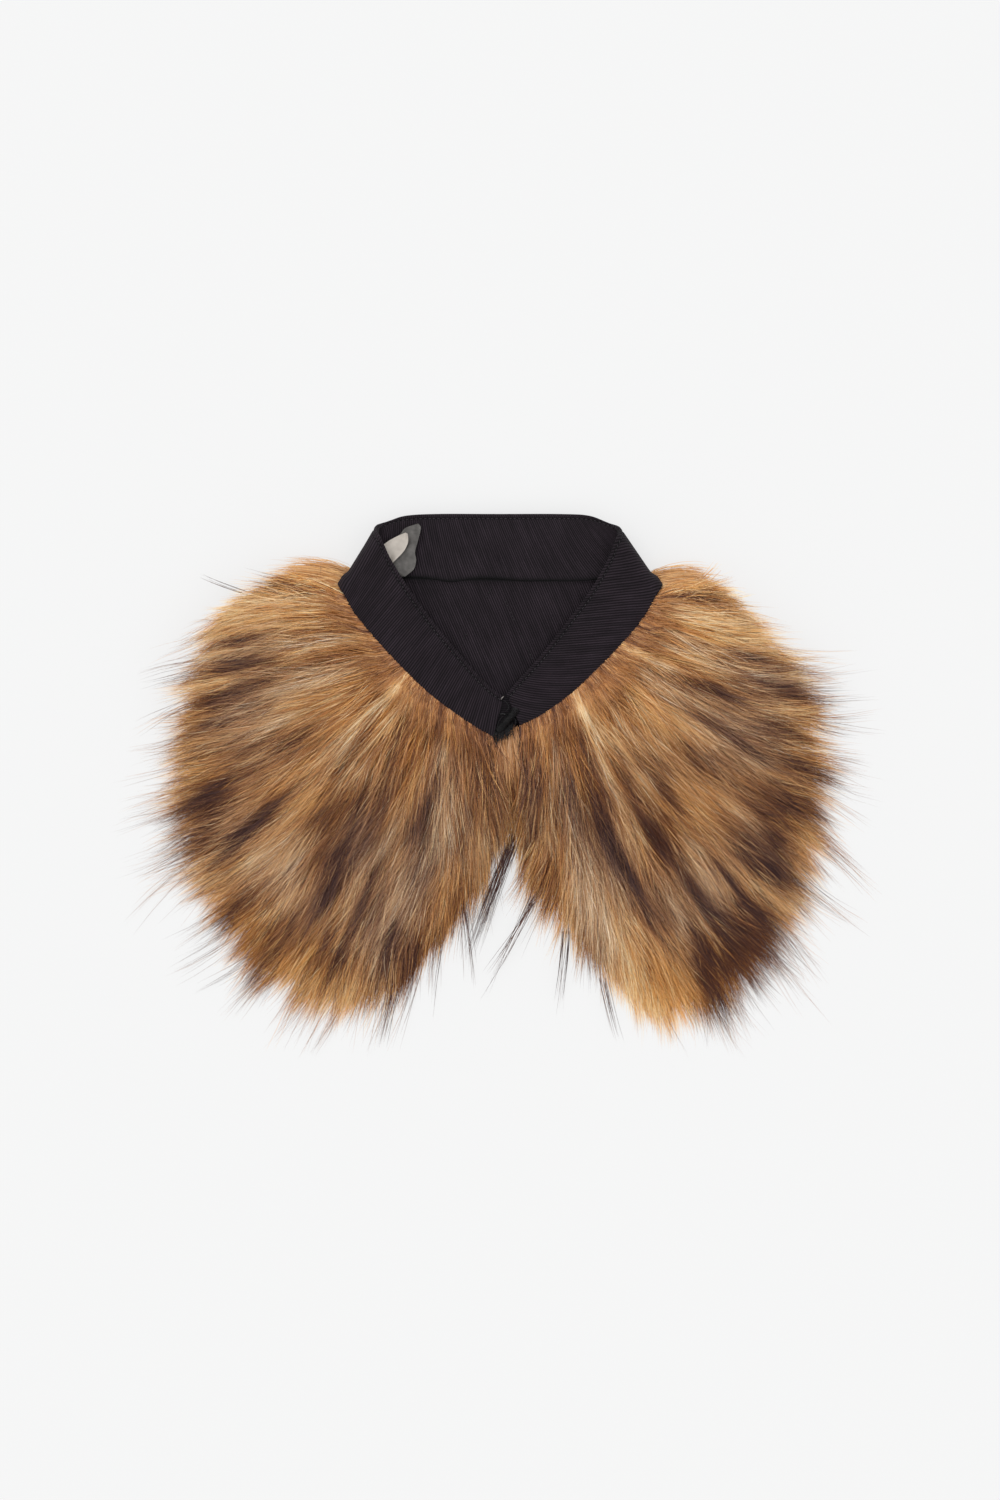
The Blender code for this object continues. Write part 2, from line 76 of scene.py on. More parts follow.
# Stand: x, y, z of the seam edge, then of the upper edge. Legs run from the closing to the fold.
LEFT_LEG = (
    (-4.5, 25.2, 19.2, 1.9, 49.2, 17.6),
    (-20.1, 34.2, 19.2, -8.7, 57.6, 17.7),
    (-42.3, 50.4, 19.3, -23.7, 74.4, 18.1),
    (-61.5, 69, 19.7, -38.7, 92.4, 19.2),
    (-79.3, 88.8, 20.9, -53.7, 112.8, 20.8),
    (-89.2, 101.8, 22.4, -65.1, 130.8, 22.2),
    (-93.6, 110.2, 23.2, -70.5, 142.2, 23),
)
BACK_BAND = (
    (-89.4, 117.6, 14.1, -67.2, 155.4, 10.2),
    (-69.9, 120.6, 14.05, -56.4, 158.6, 9.6),
    (-42.9, 120.6, 14.05, -36, 159.6, 9.2),
    (0, 120, 14.05, 0, 159.6, 9),
    (41.1, 120, 14.05, 36.3, 159.6, 9.2),
    (69, 120, 14.05, 53.1, 158.6, 9.6),
    (89.4, 117, 14.1, 64.2, 154.6, 10.2),
)
RIGHT_LEG = (
    (12, 31.8, 19.2, 3.6, 51, 17.6),
    (26.1, 39, 19.2, 11.7, 60.6, 17.7),
    (44.1, 52.2, 19.3, 23.7, 73.8, 18.1),
    (62.7, 70.2, 19.7, 38.7, 93, 19.2),
    (79.2, 88, 20.9, 54.3, 114, 20.8),
    (88.6, 101.2, 22.4, 64.5, 132, 22.2),
    (93, 109.6, 23.2, 68.4, 142, 23),
)
# How strongly a fold's seam edge and upper edge set out along the leg, and come in along the back.
FOLD_SET_OUT = (21.0, 22.0)
FOLD_COME_IN = (19.0, 34.0)

# Waves of the band's seam edge, away from its upper edge: x, half length and depth.
SEAM_WAVES = ((-30.0, 11.0, 2.4), (14.0, 13.0, 1.2), (42.0, 20.0, 1.6))

# Fans: stand row, bearing, reach, curl, overhang, and for the fronts loft and edge thickness, of each
# line. The fronts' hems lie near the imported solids', and the hair turns as it is combed: flatter out of
# the shoulders, and at the parting away from the closing's other side.
LEFT_FRONT = (
    (0.00, 276, 66, -24, 30, 15, 3.5),
    (0.12, 270, 77, -18, 31, 17, 3.5),
    (0.4, 266.5, 103, -20, 33, 20, 2.5),
    (0.68, 264, 121, -19, 34, 21, 2.5),
    (0.95, 261, 142, -17, 35, 22, 2.5),
    (1.3, 254, 185, -13, 36, 23, 2.5),
    (1.85, 246.5, 205, -10, 37, 24, 2.5),
    (2.3, 237, 201, -13, 37, 24, 2.5),
    (2.6, 227.5, 187, -13, 37, 24, 2.5),
    (2.82, 217.5, 173, -10, 37, 24, 2.5),
    (3.00, 208, 156, -4, 37, 24, 3),
    (3.22, 198.5, 138, 6, 36, 23, 3),
    (3.5, 191, 120, 14, 35, 22, 4),
    (3.9, 186.5, 105, 19, 33, 21, 5),
    (4.4, 184, 95, 22, 30, 19, 6),
    (4.95, 182.5, 85, 24, 28, 18, 7),
    (5.3, 180, 71, 26, 26, 16, 7),
    (5.62, 176.5, 58, 28, 22, 14, 7),
    (5.85, 172.5, 50, 30, 20, 12, 7),
    (6.00, 169, 45, 32, 18, 10, 6),
)
RIGHT_FRONT = (
    (0.00, 268, 74, -16, 30, 15, 3.5),
    (0.15, 270, 93, -20, 31, 18, 3.5),
    (0.5, 269.5, 108, -24, 33, 20, 2.5),
    (0.8, 271.5, 121, -20, 34, 21, 2.5),
    (1.00, 276, 139, -12, 35, 22, 2.5),
    (1.18, 282, 170, -2, 35, 22, 2.5),
    (1.4, 289, 203, 5, 36, 23, 2.5),
    (1.85, 300, 211, 10, 37, 24, 2.5),
    (2.35, 311, 195, 10, 37, 24, 2.5),
    (2.65, 318, 184, 10, 37, 24, 2.5),
    (2.95, 325, 169, 11, 37, 24, 3),
    (3.3, 331.5, 148, 12, 36, 23, 3),
    (3.75, 337, 131, 12, 35, 22, 4),
    (4.2, 340, 113, 11, 33, 21, 5),
    (4.6, 341.5, 98, 9, 30, 20, 5.5),
    (4.95, 344, 83, 4, 27, 18, 7),
    (5.3, 348.5, 69, -6, 24, 16, 7),
    (5.62, 354, 58, -16, 21, 14, 7),
    (5.85, 360, 50, -24, 19, 12, 7),
    (6.00, 366, 44, -32, 17, 10, 6),
)
BACK = (
    (0.62, 177, 62, -76, 20),
    (0.72, 190, 83, -44, 26),
    (0.82, 202, 106, -26, 28),
    (0.95, 211, 132, -12, 31),
    (1.1, 218, 161, -6, 34),
    (1.35, 227, 162, -2, 36),
    (1.7, 239, 159, 0, 37),
    (2.1, 253.5, 161, 0, 37),
    (2.55, 263, 167, 0, 37),
    (3.00, 270, 170, 0, 37),
    (3.45, 277, 167, 0, 37),
    (3.9, 286.5, 161, 0, 37),
    (4.3, 301, 156, 0, 37),
    (4.65, 312, 151, 2, 36),
    (4.9, 323, 143, 6, 33),
    (5.05, 329.5, 117, 12, 30),
    (5.18, 338, 94, 26, 27),
    (5.28, 350, 71, 44, 24),
    (5.38, 363, 53, 76, 18),
)

# ------------------------------------------------------------
# Curves and surfaces of the collar
# ------------------------------------------------------------


def smooth(share):
    """0 up to a share of 0, 1 from a share of 1, and an even S between."""
    share = np.clip(share, 0.0, 1.0)
    return share * share * (3.0 - 2.0 * share)


def between(rows, positions):
    """The rows at fractional row numbers, on a smooth curve through all rows of a table."""
    table = np.asarray(rows, float)
    padded = np.vstack([2 * table[0] - table[1], table, 2 * table[-1] - table[-2]])
    positions = np.asarray(positions, float)
    start = np.clip(np.floor(positions).astype(int), 0, len(table) - 2)
    part = (positions - start)[..., None]
    a, b, c, d = (padded[start + step] for step in range(4))
    bend = 2 * a - 5 * b + 4 * c - d
    twist = 3 * b - a - 3 * c + d
    return b + 0.5 * ((c - a) * part + bend * part**2 + twist * part**3)


def curve(rows, steps):
    """A smooth curve through all rows, with that many steps from one to the next."""
    return between(rows, np.arange((len(rows) - 1) * steps + 1) / steps)


def unit(vectors):
    return vectors / np.linalg.norm(vectors, axis=-1, keepdims=True)


def distances(line):
    """How far along a line each of its points lies."""
    return np.concatenate([[0.0], np.cumsum(np.linalg.norm(np.diff(line, axis=0), axis=1))])


def sample(rows, length, where):
    """Rows at these distances along a line, from how far along it each row lies."""
    return np.stack([np.interp(where, length, column) for column in rows.T], axis=1)


def normal(dice, count, spread=1.0):
    """Normal random values, cut off at two spreads."""
    return np.clip(dice.standard_normal(count), -2.0, 2.0) * spread


def arc(bearing, curl, length, share):
    """x and y at a share of an arc that sets out at a bearing and turns by its curl."""
    half_turn = curl * share / 2
    chord = length * share * np.sinc(half_turn / np.pi)
    return chord * np.cos(bearing + half_turn), chord * np.sin(bearing + half_turn)


def in_oval(ahead, aside, bearing, half_length, half_width):
    """Distances from an oval's middle, along and across it, in its own half sizes."""
    along = (ahead * math.cos(bearing) + aside * math.sin(bearing)) / half_length
    across = (aside * math.cos(bearing) - ahead * math.sin(bearing)) / half_width
    return along, across


def back_height(x, y):
    """Height of the back's upper side over the surface."""
    hem = BACK_HEM_MIDDLE + (BACK_HEM_SHOULDER - BACK_HEM_MIDDLE) * (x / BACK_HALF_WIDTH) ** 2
    return BACK_HEIGHT * smooth((y - hem) / HEM_TAPER)


def front_height(x, y):
    """Height of a front's lower side over the surface."""
    return back_height(x, y + FRONT_OVERLAP) * (1.0 + FRONT_CLEARANCE / BACK_HEIGHT)


class Noise:
    """Smooth random values from 0 to 1 over two numbers, the same each time for a seed."""

    SIZE = 256

    def __init__(self, seed):
        self.values = np.random.default_rng(seed).random((self.SIZE, self.SIZE))

    def corner(self, column, row):
        return self.values[column % self.SIZE, row % self.SIZE]

    def __call__(self, u, v):
        column, row = np.floor(u).astype(int), np.floor(v).astype(int)
        fu, fv = smooth(u - column), smooth(v - row)
        low = self.corner(column, row) * (1 - fu) + self.corner(column + 1, row) * fu
        high = self.corner(column, row + 1) * (1 - fu) + self.corner(column + 1, row + 1) * fu
        return low * (1 - fv) + high * fv


Lines = namedtuple("Lines", "seam bearing reach curl overhang loft edge", defaults=(0.0, 0.0))


class Panel:
    """A collar panel. A point of it is a share across the fan and a distance from the seam."""

    up = 1

    def __init__(self, table, stand, parting=0.0):
        self.table = np.asarray(table)
        self.stand = stand
        self.parting = parting

    def lines(self, share):
        """The fan lines at these shares, 0 at the first line of the table and 1 at the last."""
        rows = between(self.table, share * (len(self.table) - 1))
        seam = between(self.stand, rows[..., 0])[..., :3]
        angles = np.radians(rows[..., [1, 3]])
        return Lines(seam, angles[..., 0], rows[..., 2], angles[..., 1], *np.moveaxis(rows[..., 4:], -1, 0))

    def place(self, lines, distance):
        """x and y at that distance from the seam, along fan lines that are arcs."""
        half_turn = lines.curl * distance / lines.reach / 2.0
        chord = distance * np.sinc(half_turn / np.pi)
        heading = lines.bearing - lines.curl / 2.0 + half_turn
        return lines.seam[..., 0] + chord * np.cos(heading), lines.seam[..., 1] + chord * np.sin(heading)

    def heading(self, lines, distance):
        return lines.bearing + lines.curl * (distance / lines.reach - 0.5)

    def beside(self, lines, distance, sway):
        """x, y and heading at that distance along fan lines, a sway to the left of them."""
        x, y = self.place(lines, distance)
        heading = self.heading(lines, distance)
        return x - np.sin(heading) * sway, y + np.cos(heading) * sway, heading

    def boundary(self, lines, distance, x, y):
        """Height of the boundary of fur and lining."""
        lift = lines.seam[..., 2] - self.resting(lines.seam[..., 0], lines.seam[..., 1])
        return self.resting(x, y) + lift * (1.0 - smooth(distance / SETTLE_LENGTH))


class Front(Panel):
    """A front: its pile is on top."""

    def resting(self, x, y):
        return front_height(x, y) + TWILL + PLY_GAP / 2

    def backing_height(self, lines, distance, x, y):
        """Where hairs are rooted, and past the cloth's cut edge the lowest that they hang."""
        past = smooth((distance - lines.reach + lines.overhang) / lines.overhang)
        rooted = self.boundary(lines, distance, x, y) + PLY_GAP / 2
        return rooted * (1.0 - past) + (front_height(x, y) + 0.4) * past

    def pile_height(self, lines, distance, x, y):
        """Top of the pile."""
        fall = np.minimum(PILE_FALL, FALL_SHARE * lines.reach)
        rise_share = smooth((distance + 2.0) / PILE_RISE)
        fall_share = 1.0 - smooth((distance - lines.reach + fall) / fall) ** 1.3
        pile = FUR_MARGIN + (lines.loft - FUR_MARGIN) * rise_share * fall_share
        tip = smooth((distance / lines.reach - 0.8) / 0.2)
        top = self.boundary(lines, distance, x, y) + PLY_GAP / 2 + pile * (1.0 - tip)
        return top * (1.0 - tip) + (front_height(x, y) + lines.edge) * tip


class Back(Panel):
    """The back: its pile is underneath, flat on the surface."""

    up = -1

    def resting(self, x, y):
        return back_height(x, y) - TWILL - PLY_GAP / 2

    def backing_height(self, lines, distance, x, y):
        past = smooth((distance - lines.reach + lines.overhang) / lines.overhang)
        rooted = self.boundary(lines, distance, x, y) - PLY_GAP / 2
        return rooted * (1.0 - past) + np.maximum(back_height(x, y), 0.8) * past

    def pile_height(self, lines, distance, x, y):
        start = lines.seam[..., 2] - PLY_GAP / 2 - FUR_MARGIN
        sunk = smooth(distance / (0.14 * lines.reach))
        raised = smooth((distance - lines.reach + lines.overhang) / lines.overhang)
        return start * (1.0 - sunk) + (BACK_TIP_LIFT * back_height(x, y) * raised + 0.4) * sunk


# ------------------------------------------------------------
# The stand
# ------------------------------------------------------------

FOLD_STEPS = 28
ROW_STEPS = 14


def fold(before, front, back, beyond):
    """The stand's sections round a fold, from a leg's last two sections to the nearest two of the back."""
    share = (np.arange(1, FOLD_STEPS) / FOLD_STEPS)[:, None, None]
    start, end = front.reshape(2, 3), back.reshape(2, 3)
    out, home = start - before.reshape(2, 3), beyond.reshape(2, 3) - end
    out, home = unit(out) * np.array(FOLD_SET_OUT)[:, None], unit(home) * np.array(FOLD_COME_IN)[:, None]
    ahead, left = smooth(share), 1.0 - share
    path = start * (1.0 - ahead) + end * ahead + out * share * left**2 - home * share**2 * left
    return path.reshape(-1, 6)


class Stand:
    """The stand as a ring of sections, from the left end round the back to the right end."""

    def __init__(self):
        left, band, right = (curve(rows, ROW_STEPS) for rows in (LEFT_LEG, BACK_BAND, RIGHT_LEG[::-1]))
        for middle, half_length, depth in SEAM_WAVES:
            band[:, 1] -= depth * np.exp(-(((band[:, 0] - middle) / half_length) ** 2))
        left_fold = fold(*left[-2:], *band[:2])
        right_fold = fold(right[1], right[0], band[-1], band[-2])[::-1]
        ring = np.vstack([left, left_fold, band, right_fold, right])
        self.seam, self.top = ring[:, None, :3], ring[:, None, 3:]
        self.width = np.linalg.norm(self.top - self.seam, axis=2)
        self.along = distances((self.seam + self.top)[:, 0] / 2)[:, None]

    def surface(self, across, side, offset):
        """Points at shares across the stand, an offset from its middle surface on a side, 1 for outside."""
        middle = self.seam + (self.top - self.seam) * across[..., None]
        before, after = middle[np.r_[0, : len(middle) - 1]], middle[np.r_[1 : len(middle), -1]]
        away = np.cross(self.top - self.seam, after - before)
        away *= side / np.linalg.norm(away, axis=2, keepdims=True)
        return middle + away * offset[..., None]

    def opening(self, across, held):
        """How far a ply stands off the middle surface, for what it holds along the seam edge."""
        past_tuck = across * self.width - TUCK
        return PLY_GAP / 2 + (held + PLY_GAP) * (1.0 - smooth(past_tuck / PLIES_MEET))


# ------------------------------------------------------------
# Meshes and materials
# ------------------------------------------------------------


SHARP_EDGE = math.radians(50)


def new_mesh(name, points, faces, material):
    """A piece made of points in collar coordinates and of faces with the same number of corners each."""
    data = bpy.data.meshes.new(name)
    places = (np.asarray(points) + SHIFT) * MM
    faces = np.asarray(faces)
    data.vertices.add(len(places))
    data.vertices.foreach_set("co", places.astype(np.float32).ravel())
    data.loops.add(faces.size)
    data.loops.foreach_set("vertex_index", faces.ravel().astype(np.int32))
    data.polygons.add(len(faces))
    data.polygons.foreach_set("loop_start", np.arange(0, faces.size, faces.shape[1], dtype=np.int32))
    data.update(calc_edges=True)
    data.polygons.foreach_set("use_smooth", np.ones(len(faces), bool))
    data.materials.append(material)
    piece = bpy.data.objects.new(name, data)
    bpy.context.scene.collection.objects.link(piece)
    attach(piece, BODY)
    return piece


def shell(name, upper, lower, flat, material, slot, painted_shade=0.0):
    """A closed sheet of cloth between two grids of points, with its flat coordinates for the weave and its
    painted shade.
    """
    columns, rows = upper.shape[:2]
    number = np.arange(columns * rows).reshape(columns, rows)
    cells = np.stack([number[:-1, :-1], number[1:, :-1], number[1:, 1:], number[:-1, 1:]], axis=-1)
    cells = cells.reshape(-1, 4)
    below = cells[:, ::-1] + number.size
    ring = np.concatenate([number[:, 0], number[-1, 1:], number[-2::-1, -1], number[0, -2:0:-1]])
    after = np.roll(ring, -1)
    rim = np.stack([after, ring, ring + number.size, after + number.size], axis=-1)
    points = np.concatenate([upper.reshape(-1, 3), lower.reshape(-1, 3)])
    faces = np.concatenate([cells, below, rim])
    corner = points[faces]
    volume = (np.cross(corner[:, 0], corner[:, 1]) * corner[:, 2]).sum()
    volume += (np.cross(corner[:, 0], corner[:, 2]) * corner[:, 3]).sum()
    if volume < 0:
        faces = faces[:, ::-1]
    piece = new_mesh(name, points, faces, material)
    piece.data.set_sharp_from_angle(angle=SHARP_EDGE)
    flat = np.broadcast_to(flat, (columns, rows, 3)).ravel()
    painted_shade = np.broadcast_to(painted_shade, (columns, rows)).ravel()
    for title, kind, key, values in (
        ("flat", "FLOAT_VECTOR", "vector", flat),
        ("painted_shade", "FLOAT", "value", painted_shade),
    ):
        layer = piece.data.attributes.new(title, kind, "POINT")
        layer.data.foreach_set(key, np.tile(values, 2).astype(np.float32))
    return piece


class Nodes:
    """A short way to write a material's nodes."""

    def __init__(self, name):
        self.material = bpy.data.materials.new(name)
        self.material.use_nodes = True
        self.tree = self.material.node_tree
        self.shader = self.tree.nodes["Principled BSDF"]

    def add(self, kind, inputs=(), **settings):
        node = self.tree.nodes.new(kind)
        for key, value in settings.items():
            setattr(node, key, value)
        for key, value in dict(inputs).items():
            self.put(node, key, value)
        return node

    def put(self, node, key, value):
        """Links an output to an input, or sets the input's own value."""
        if isinstance(value, bpy.types.NodeSocket):
            self.tree.links.new(value, node.inputs[key])
        else:
            node.inputs[key].default_value = value

    def math(self, operation, first, second=0.0, third=0.0):
        return self.add("ShaderNodeMath", {0: first, 1: second, 2: third}, operation=operation).outputs[0]

    def waves(self, value, pitch):
        return self.math("SINE", self.math("MULTIPLY", value, 2 * math.pi / pitch))

    def flat(self):
        """A cloth's flat coordinates, whole and as separate numbers."""
        whole = self.add("ShaderNodeAttribute", attribute_name="flat").outputs["Vector"]
        return whole, self.add("ShaderNodeSeparateXYZ", {0: whole}).outputs

    def place(self):
        return self.add("ShaderNodeTexCoord").outputs["Object"]

    def ramp(self, fac, stops):
        """A colour ramp from (position, colour) stops."""
        node = self.add("ShaderNodeValToRGB", {0: fac})
        elements = node.color_ramp.elements
        while len(elements) < len(stops):
            elements.new(0.5)
        for element, (position, colour) in zip(elements, stops):
            element.position = position
            element.color = (*colour, 1.0)
        return node.outputs["Color"]

    def noise(self, place, scale, detail=2.0):
        inputs = {"Vector": place, "Scale": scale, "Detail": detail}
        return self.add("ShaderNodeTexNoise", inputs).outputs["Fac"]

    def mix(self, fac, first, second, blend="MIX"):
        node = self.add("ShaderNodeMix", data_type="RGBA", blend_type=blend)
        for key, value in ((0, fac), (6, first), (7, second)):
            self.put(node, key, value)
        return node.outputs[2]

    def bump(self, height, distance, strength=1.0):
        inputs = {"Height": height, "Distance": distance, "Strength": strength}
        return self.add("ShaderNodeBump", inputs).outputs["Normal"]

    def set(self, **values):
        for key, value in values.items():
            self.put(self.shader, key.replace("_", " ").title().replace("Ior", "IOR"), value)


def grey(value):
    return (value, value, value)


YARN_PITCH = 0.45
# Scales of the noise that sets one yarn off from the next: two along the ply, and one from rib to rib.
ALONG_RIBS = (0.05, 0.05, 0.9)
TWILL_DARK = (0.0036, 0.0020, 0.0032)
TWILL_LIGHT = (0.0235, 0.0172, 0.0222)
# Colour of the painted shade that darkens the twill in grooves and troughs lying in shadow.
PAINTED_SHADE_BLACK = (0.0022, 0.0020, 0.0024, 1.0)
SATIN_YARN_PITCH = 0.5
KNIT_PITCHES = (1.1, 0.9)


def twill_material():
    """Nearly black cotton twill: ribs of warp with fine yarns, a little lint and fade, and painted shade by
    seams and stitches.
    """
    nodes = Nodes("black_twill")
    flat, axes = nodes.flat()
    wander = nodes.noise(flat, 0.9)
    rib = nodes.math("SINE", nodes.math("ADD", nodes.math("MULTIPLY", axes[2], 2 * math.pi), wander))
    rib_share = nodes.math("MULTIPLY_ADD", rib, 0.5, 0.5)
    weave = nodes.math("ADD", rib, nodes.math("MULTIPLY", nodes.waves(axes[0], YARN_PITCH), 0.35))
    body = nodes.ramp(rib_share, ((0.0, TWILL_DARK), (1.0, TWILL_LIGHT)))
    worn = nodes.ramp(nodes.noise(flat, 0.045, 4.0), ((0.3, grey(0.80)), (0.72, grey(1.22))))
    lint = nodes.ramp(nodes.noise(flat, 1.7, 1.0), ((0.66, grey(1.0)), (0.80, grey(1.9))))
    along_ribs = nodes.add("ShaderNodeVectorMath", {0: flat, 1: ALONG_RIBS}, operation="MULTIPLY")
    uneven = nodes.noise(along_ribs.outputs[0], 1.0, 3.0)
    yarns = nodes.ramp(uneven, ((0.34, grey(0.74)), (0.66, grey(1.30))))
    colour = nodes.mix(1.0, nodes.mix(1.0, body, worn, "MULTIPLY"), lint, "MULTIPLY")
    colour = nodes.mix(1.0, colour, yarns, "MULTIPLY")
    # Painted shade: darker towards black where the cloth lies in shadow in grooves and troughs.
    painted_shade = nodes.add("ShaderNodeAttribute", attribute_name="painted_shade").outputs["Fac"]
    colour = nodes.mix(painted_shade, colour, PAINTED_SHADE_BLACK)
    nodes.set(
        base_color=colour,
        roughness=0.82,
        specular_ior_level=0.13,
        sheen_weight=0.04,
        sheen_roughness=0.4,
        normal=nodes.bump(weave, 0.00012, 0.8),
    )
    return nodes.material


def satin_material():
    """Label satin with fine crosswise yarns: pale on its face, and on its back a dull greenish grey made
    dark with painted shade.
    """
    nodes = Nodes("label_satin")
    flat, axes = nodes.flat()
    yarns = nodes.waves(axes[1], SATIN_YARN_PITCH)
    mottle = nodes.noise(flat, 0.25, 3.0)
    # The back's colour is painted shade over a dull greenish grey; the face is the satin's own pale colour.
    back = nodes.ramp(mottle, ((0.3, (0.042, 0.038, 0.034)), (0.7, (0.105, 0.097, 0.090))))
    face = nodes.ramp(mottle, ((0.3, (0.42, 0.375, 0.330)), (0.7, (0.52, 0.470, 0.415))))
    nodes.set(
        base_color=nodes.mix(axes[2], back, face),
        roughness=0.40,
        specular_ior_level=0.50,
        sheen_weight=0.06,
        normal=nodes.bump(nodes.math("ADD", yarns, nodes.math("MULTIPLY", mottle, 1.5)), 0.00006, 0.6),
    )
    return nodes.material


BLACK_THREAD = ((0.0012, 0.0010, 0.0014), (0.0080, 0.0072, 0.0080))
FADED_THREAD = ((0.0080, 0.0060, 0.0080), (0.0420, 0.0350, 0.0400))


def thread_material(name, dark, light):
    """Sewing thread, its twist as fine slanting bumps."""
    nodes = Nodes(name)
    place = nodes.place()
    inputs = {"Vector": place, "Scale": 900.0, "Distortion": 1.5}
    twist = nodes.add("ShaderNodeTexWave", inputs, bands_direction="DIAGONAL").outputs["Fac"]
    nodes.set(
        base_color=nodes.ramp(twist, ((0.0, dark), (1.0, light))),
        roughness=0.5,
        specular_ior_level=0.35,
        normal=nodes.bump(twist, 0.00005, 0.7),
    )
    return nodes.material


def pale_thread_material():
    nodes = Nodes("pale_thread")
    place = nodes.place()
    fibres = nodes.noise(place, 2500.0)
    nodes.set(
        base_color=nodes.ramp(fibres, ((0.3, (0.16, 0.14, 0.13)), (0.7, (0.34, 0.31, 0.29)))),
        roughness=0.7,
        normal=nodes.bump(fibres, 0.00004),
    )
    return nodes.material


def metal_material():
    """Black lacquered wire, rubbed to bare steel in places."""
    nodes = Nodes("black_metal_wire")
    place = nodes.place()
    rub = nodes.noise(place, 700.0, 4.0)
    grain = nodes.noise(place, 2600.0)
    nodes.set(
        base_color=nodes.ramp(rub, ((0.60, (0.018, 0.017, 0.018)), (0.74, (0.20, 0.195, 0.19)))),
        metallic=0.9,
        roughness=nodes.ramp(grain, ((0.2, grey(0.22)), (0.8, grey(0.45)))),
        normal=nodes.bump(grain, 0.00003, 0.5),
    )
    return nodes.material


def knit_material():
    """The knitted ground that the hair grows from."""
    nodes = Nodes("pile_ground")
    flat, axes = nodes.flat()
    loops = nodes.math("MULTIPLY", *(nodes.waves(axes[axis], KNIT_PITCHES[axis]) for axis in (0, 1)))
    tint = nodes.noise(flat, 0.12, 3.0)
    nodes.set(
        base_color=nodes.ramp(tint, ((0.3, (0.075, 0.036, 0.016)), (0.7, (0.15, 0.074, 0.030)))),
        roughness=0.9,
        specular_ior_level=0.1,
        normal=nodes.bump(loops, 0.0002),
    )
    return nodes.material


# Colours of hair by tone, from 0, dark guard hair, to 1, cream: greyish ones and warm ones. Linear.
COOL_TONES = (
    (0.00, (0.042, 0.02, 0.021)),
    (0.18, (0.105, 0.052, 0.042)),
    (0.36, (0.26, 0.142, 0.092)),
    (0.55, (0.48, 0.305, 0.192)),
    (0.75, (0.71, 0.52, 0.355)),
    (1.00, (0.93, 0.8, 0.64)),
)
WARM_TONES = (
    (0.00, (0.078, 0.021, 0.009)),
    (0.18, (0.195, 0.064, 0.016)),
    (0.36, (0.41, 0.145, 0.03)),
    (0.55, (0.7, 0.295, 0.065)),
    (0.75, (0.88, 0.5, 0.155)),
    (1.00, (0.98, 0.8, 0.46)),
)
RIBBON_TONE = 0.004
RIBBON_WARMTH = 0.10


def fur_material():
    """Hair whose tone is a map's U and whose warmth is its V."""
    nodes = Nodes("fur_hair")
    uv = nodes.add("ShaderNodeUVMap", uv_map="OFBake").outputs[0]
    axes = nodes.add("ShaderNodeSeparateXYZ", {0: uv}).outputs
    cool, warm = (nodes.ramp(axes[0], stops) for stops in (COOL_TONES, WARM_TONES))
    nodes.set(base_color=nodes.mix(axes[1], cool, warm), roughness=0.42, specular_ior_level=0.25)
    return nodes.material


# ------------------------------------------------------------
# Twill pieces
# ------------------------------------------------------------

# Across the stand: distances from the seam edge and from the upper edge where its rows of points lie.
SEAM_ROWS = (0.0, 0.35, 1.0, 2.2, 3.6, 5.0, 6.4, 8.0, 10.0)
TOP_ROWS = (5.0, 4.0, 3.3, 2.8, 2.3, 1.6, 0.8, 0.3, 0.0)
MIDDLE_ROWS = 8
TOPSTITCH = 2.8
EDGE_ROUNDING = 0.7
STITCH_PITCH = 2.7
STITCH_TROUGH = 0.75
TROUGH_HALF_WIDTH = 0.55
LIP_PUCKER = 0.20
DRAPE = 0.5
# How wide the painted shade reaches beside the seam and beside the stitches, where the cloth lies in
# shadow.
PAINTED_SHADE_SEAM = 1.8
PAINTED_SHADE_STITCHES = 0.5

# Direction of the ribs on each ply, from the stand's length towards its upper edge, in degrees.
OUTER_RIBS_LEFT = 83.6
OUTER_RIBS_RIGHT = 41.4
INNER_RIBS = -68.0
LINING_RIBS = 113.0
OUTER_RIB_PITCH = 1.42
INNER_RIB_PITCH = 1.30
LINING_RIB_PITCH = 1.34

# Soft creases of the outer ply: along the stand and from its seam edge, half length, half width, angle from
# the stand's length, and depth. Negative depth is a ridge.
OUTER_CREASES = (
    (10, 12, 9, 2.4, 62, 0.45),
    (21, 17, 12, 3, 55, 0.35),
    (24, 8, 8, 2.2, 40, -0.3),
    (52, 20, 14, 3.5, 25, 0.3),
    (78, 11, 12, 3, -30, 0.35),
    (104, 22, 10, 3, 70, 0.35),
    (112, 12, 9, 2.6, 80, -0.3),
    (190, 20, 22, 4, 12, 0.3),
    (236, 14, 18, 4, -10, 0.3),
    (338, 13, 9, 2.6, 85, 0.4),
    (352, 22, 12, 3.2, 60, 0.3),
    (384, 12, 14, 3.4, 35, 0.35),
    (412, 19, 12, 3, -35, -0.25),
    (437, 10, 9, 2.4, -60, 0.4),
)
INNER_CREASES = (
    (150, 22, 12, 3, 75, 0.4),
    (163, 12, 14, 3.4, 60, 0.35),
    (186, 10, 22, 3, 4, -0.3),
    (214, 24, 20, 4, -8, 0.3),
    (246, 9, 20, 3, 6, -0.3),
    (272, 16, 12, 3.2, -55, 0.35),
    (286, 25, 10, 2.8, -75, 0.4),
)


def crease_depth(creases, along, across):
    """How far soft creases sink a surface."""
    depth = np.zeros(np.broadcast(along, across).shape)
    for place, height, half_length, half_width, angle, deep in creases:
        turn = math.radians(angle)
        u, v = in_oval(along - place, across - height, turn, half_length, half_width)
        depth += deep * np.exp(-(u**2) - v**2)
    return depth


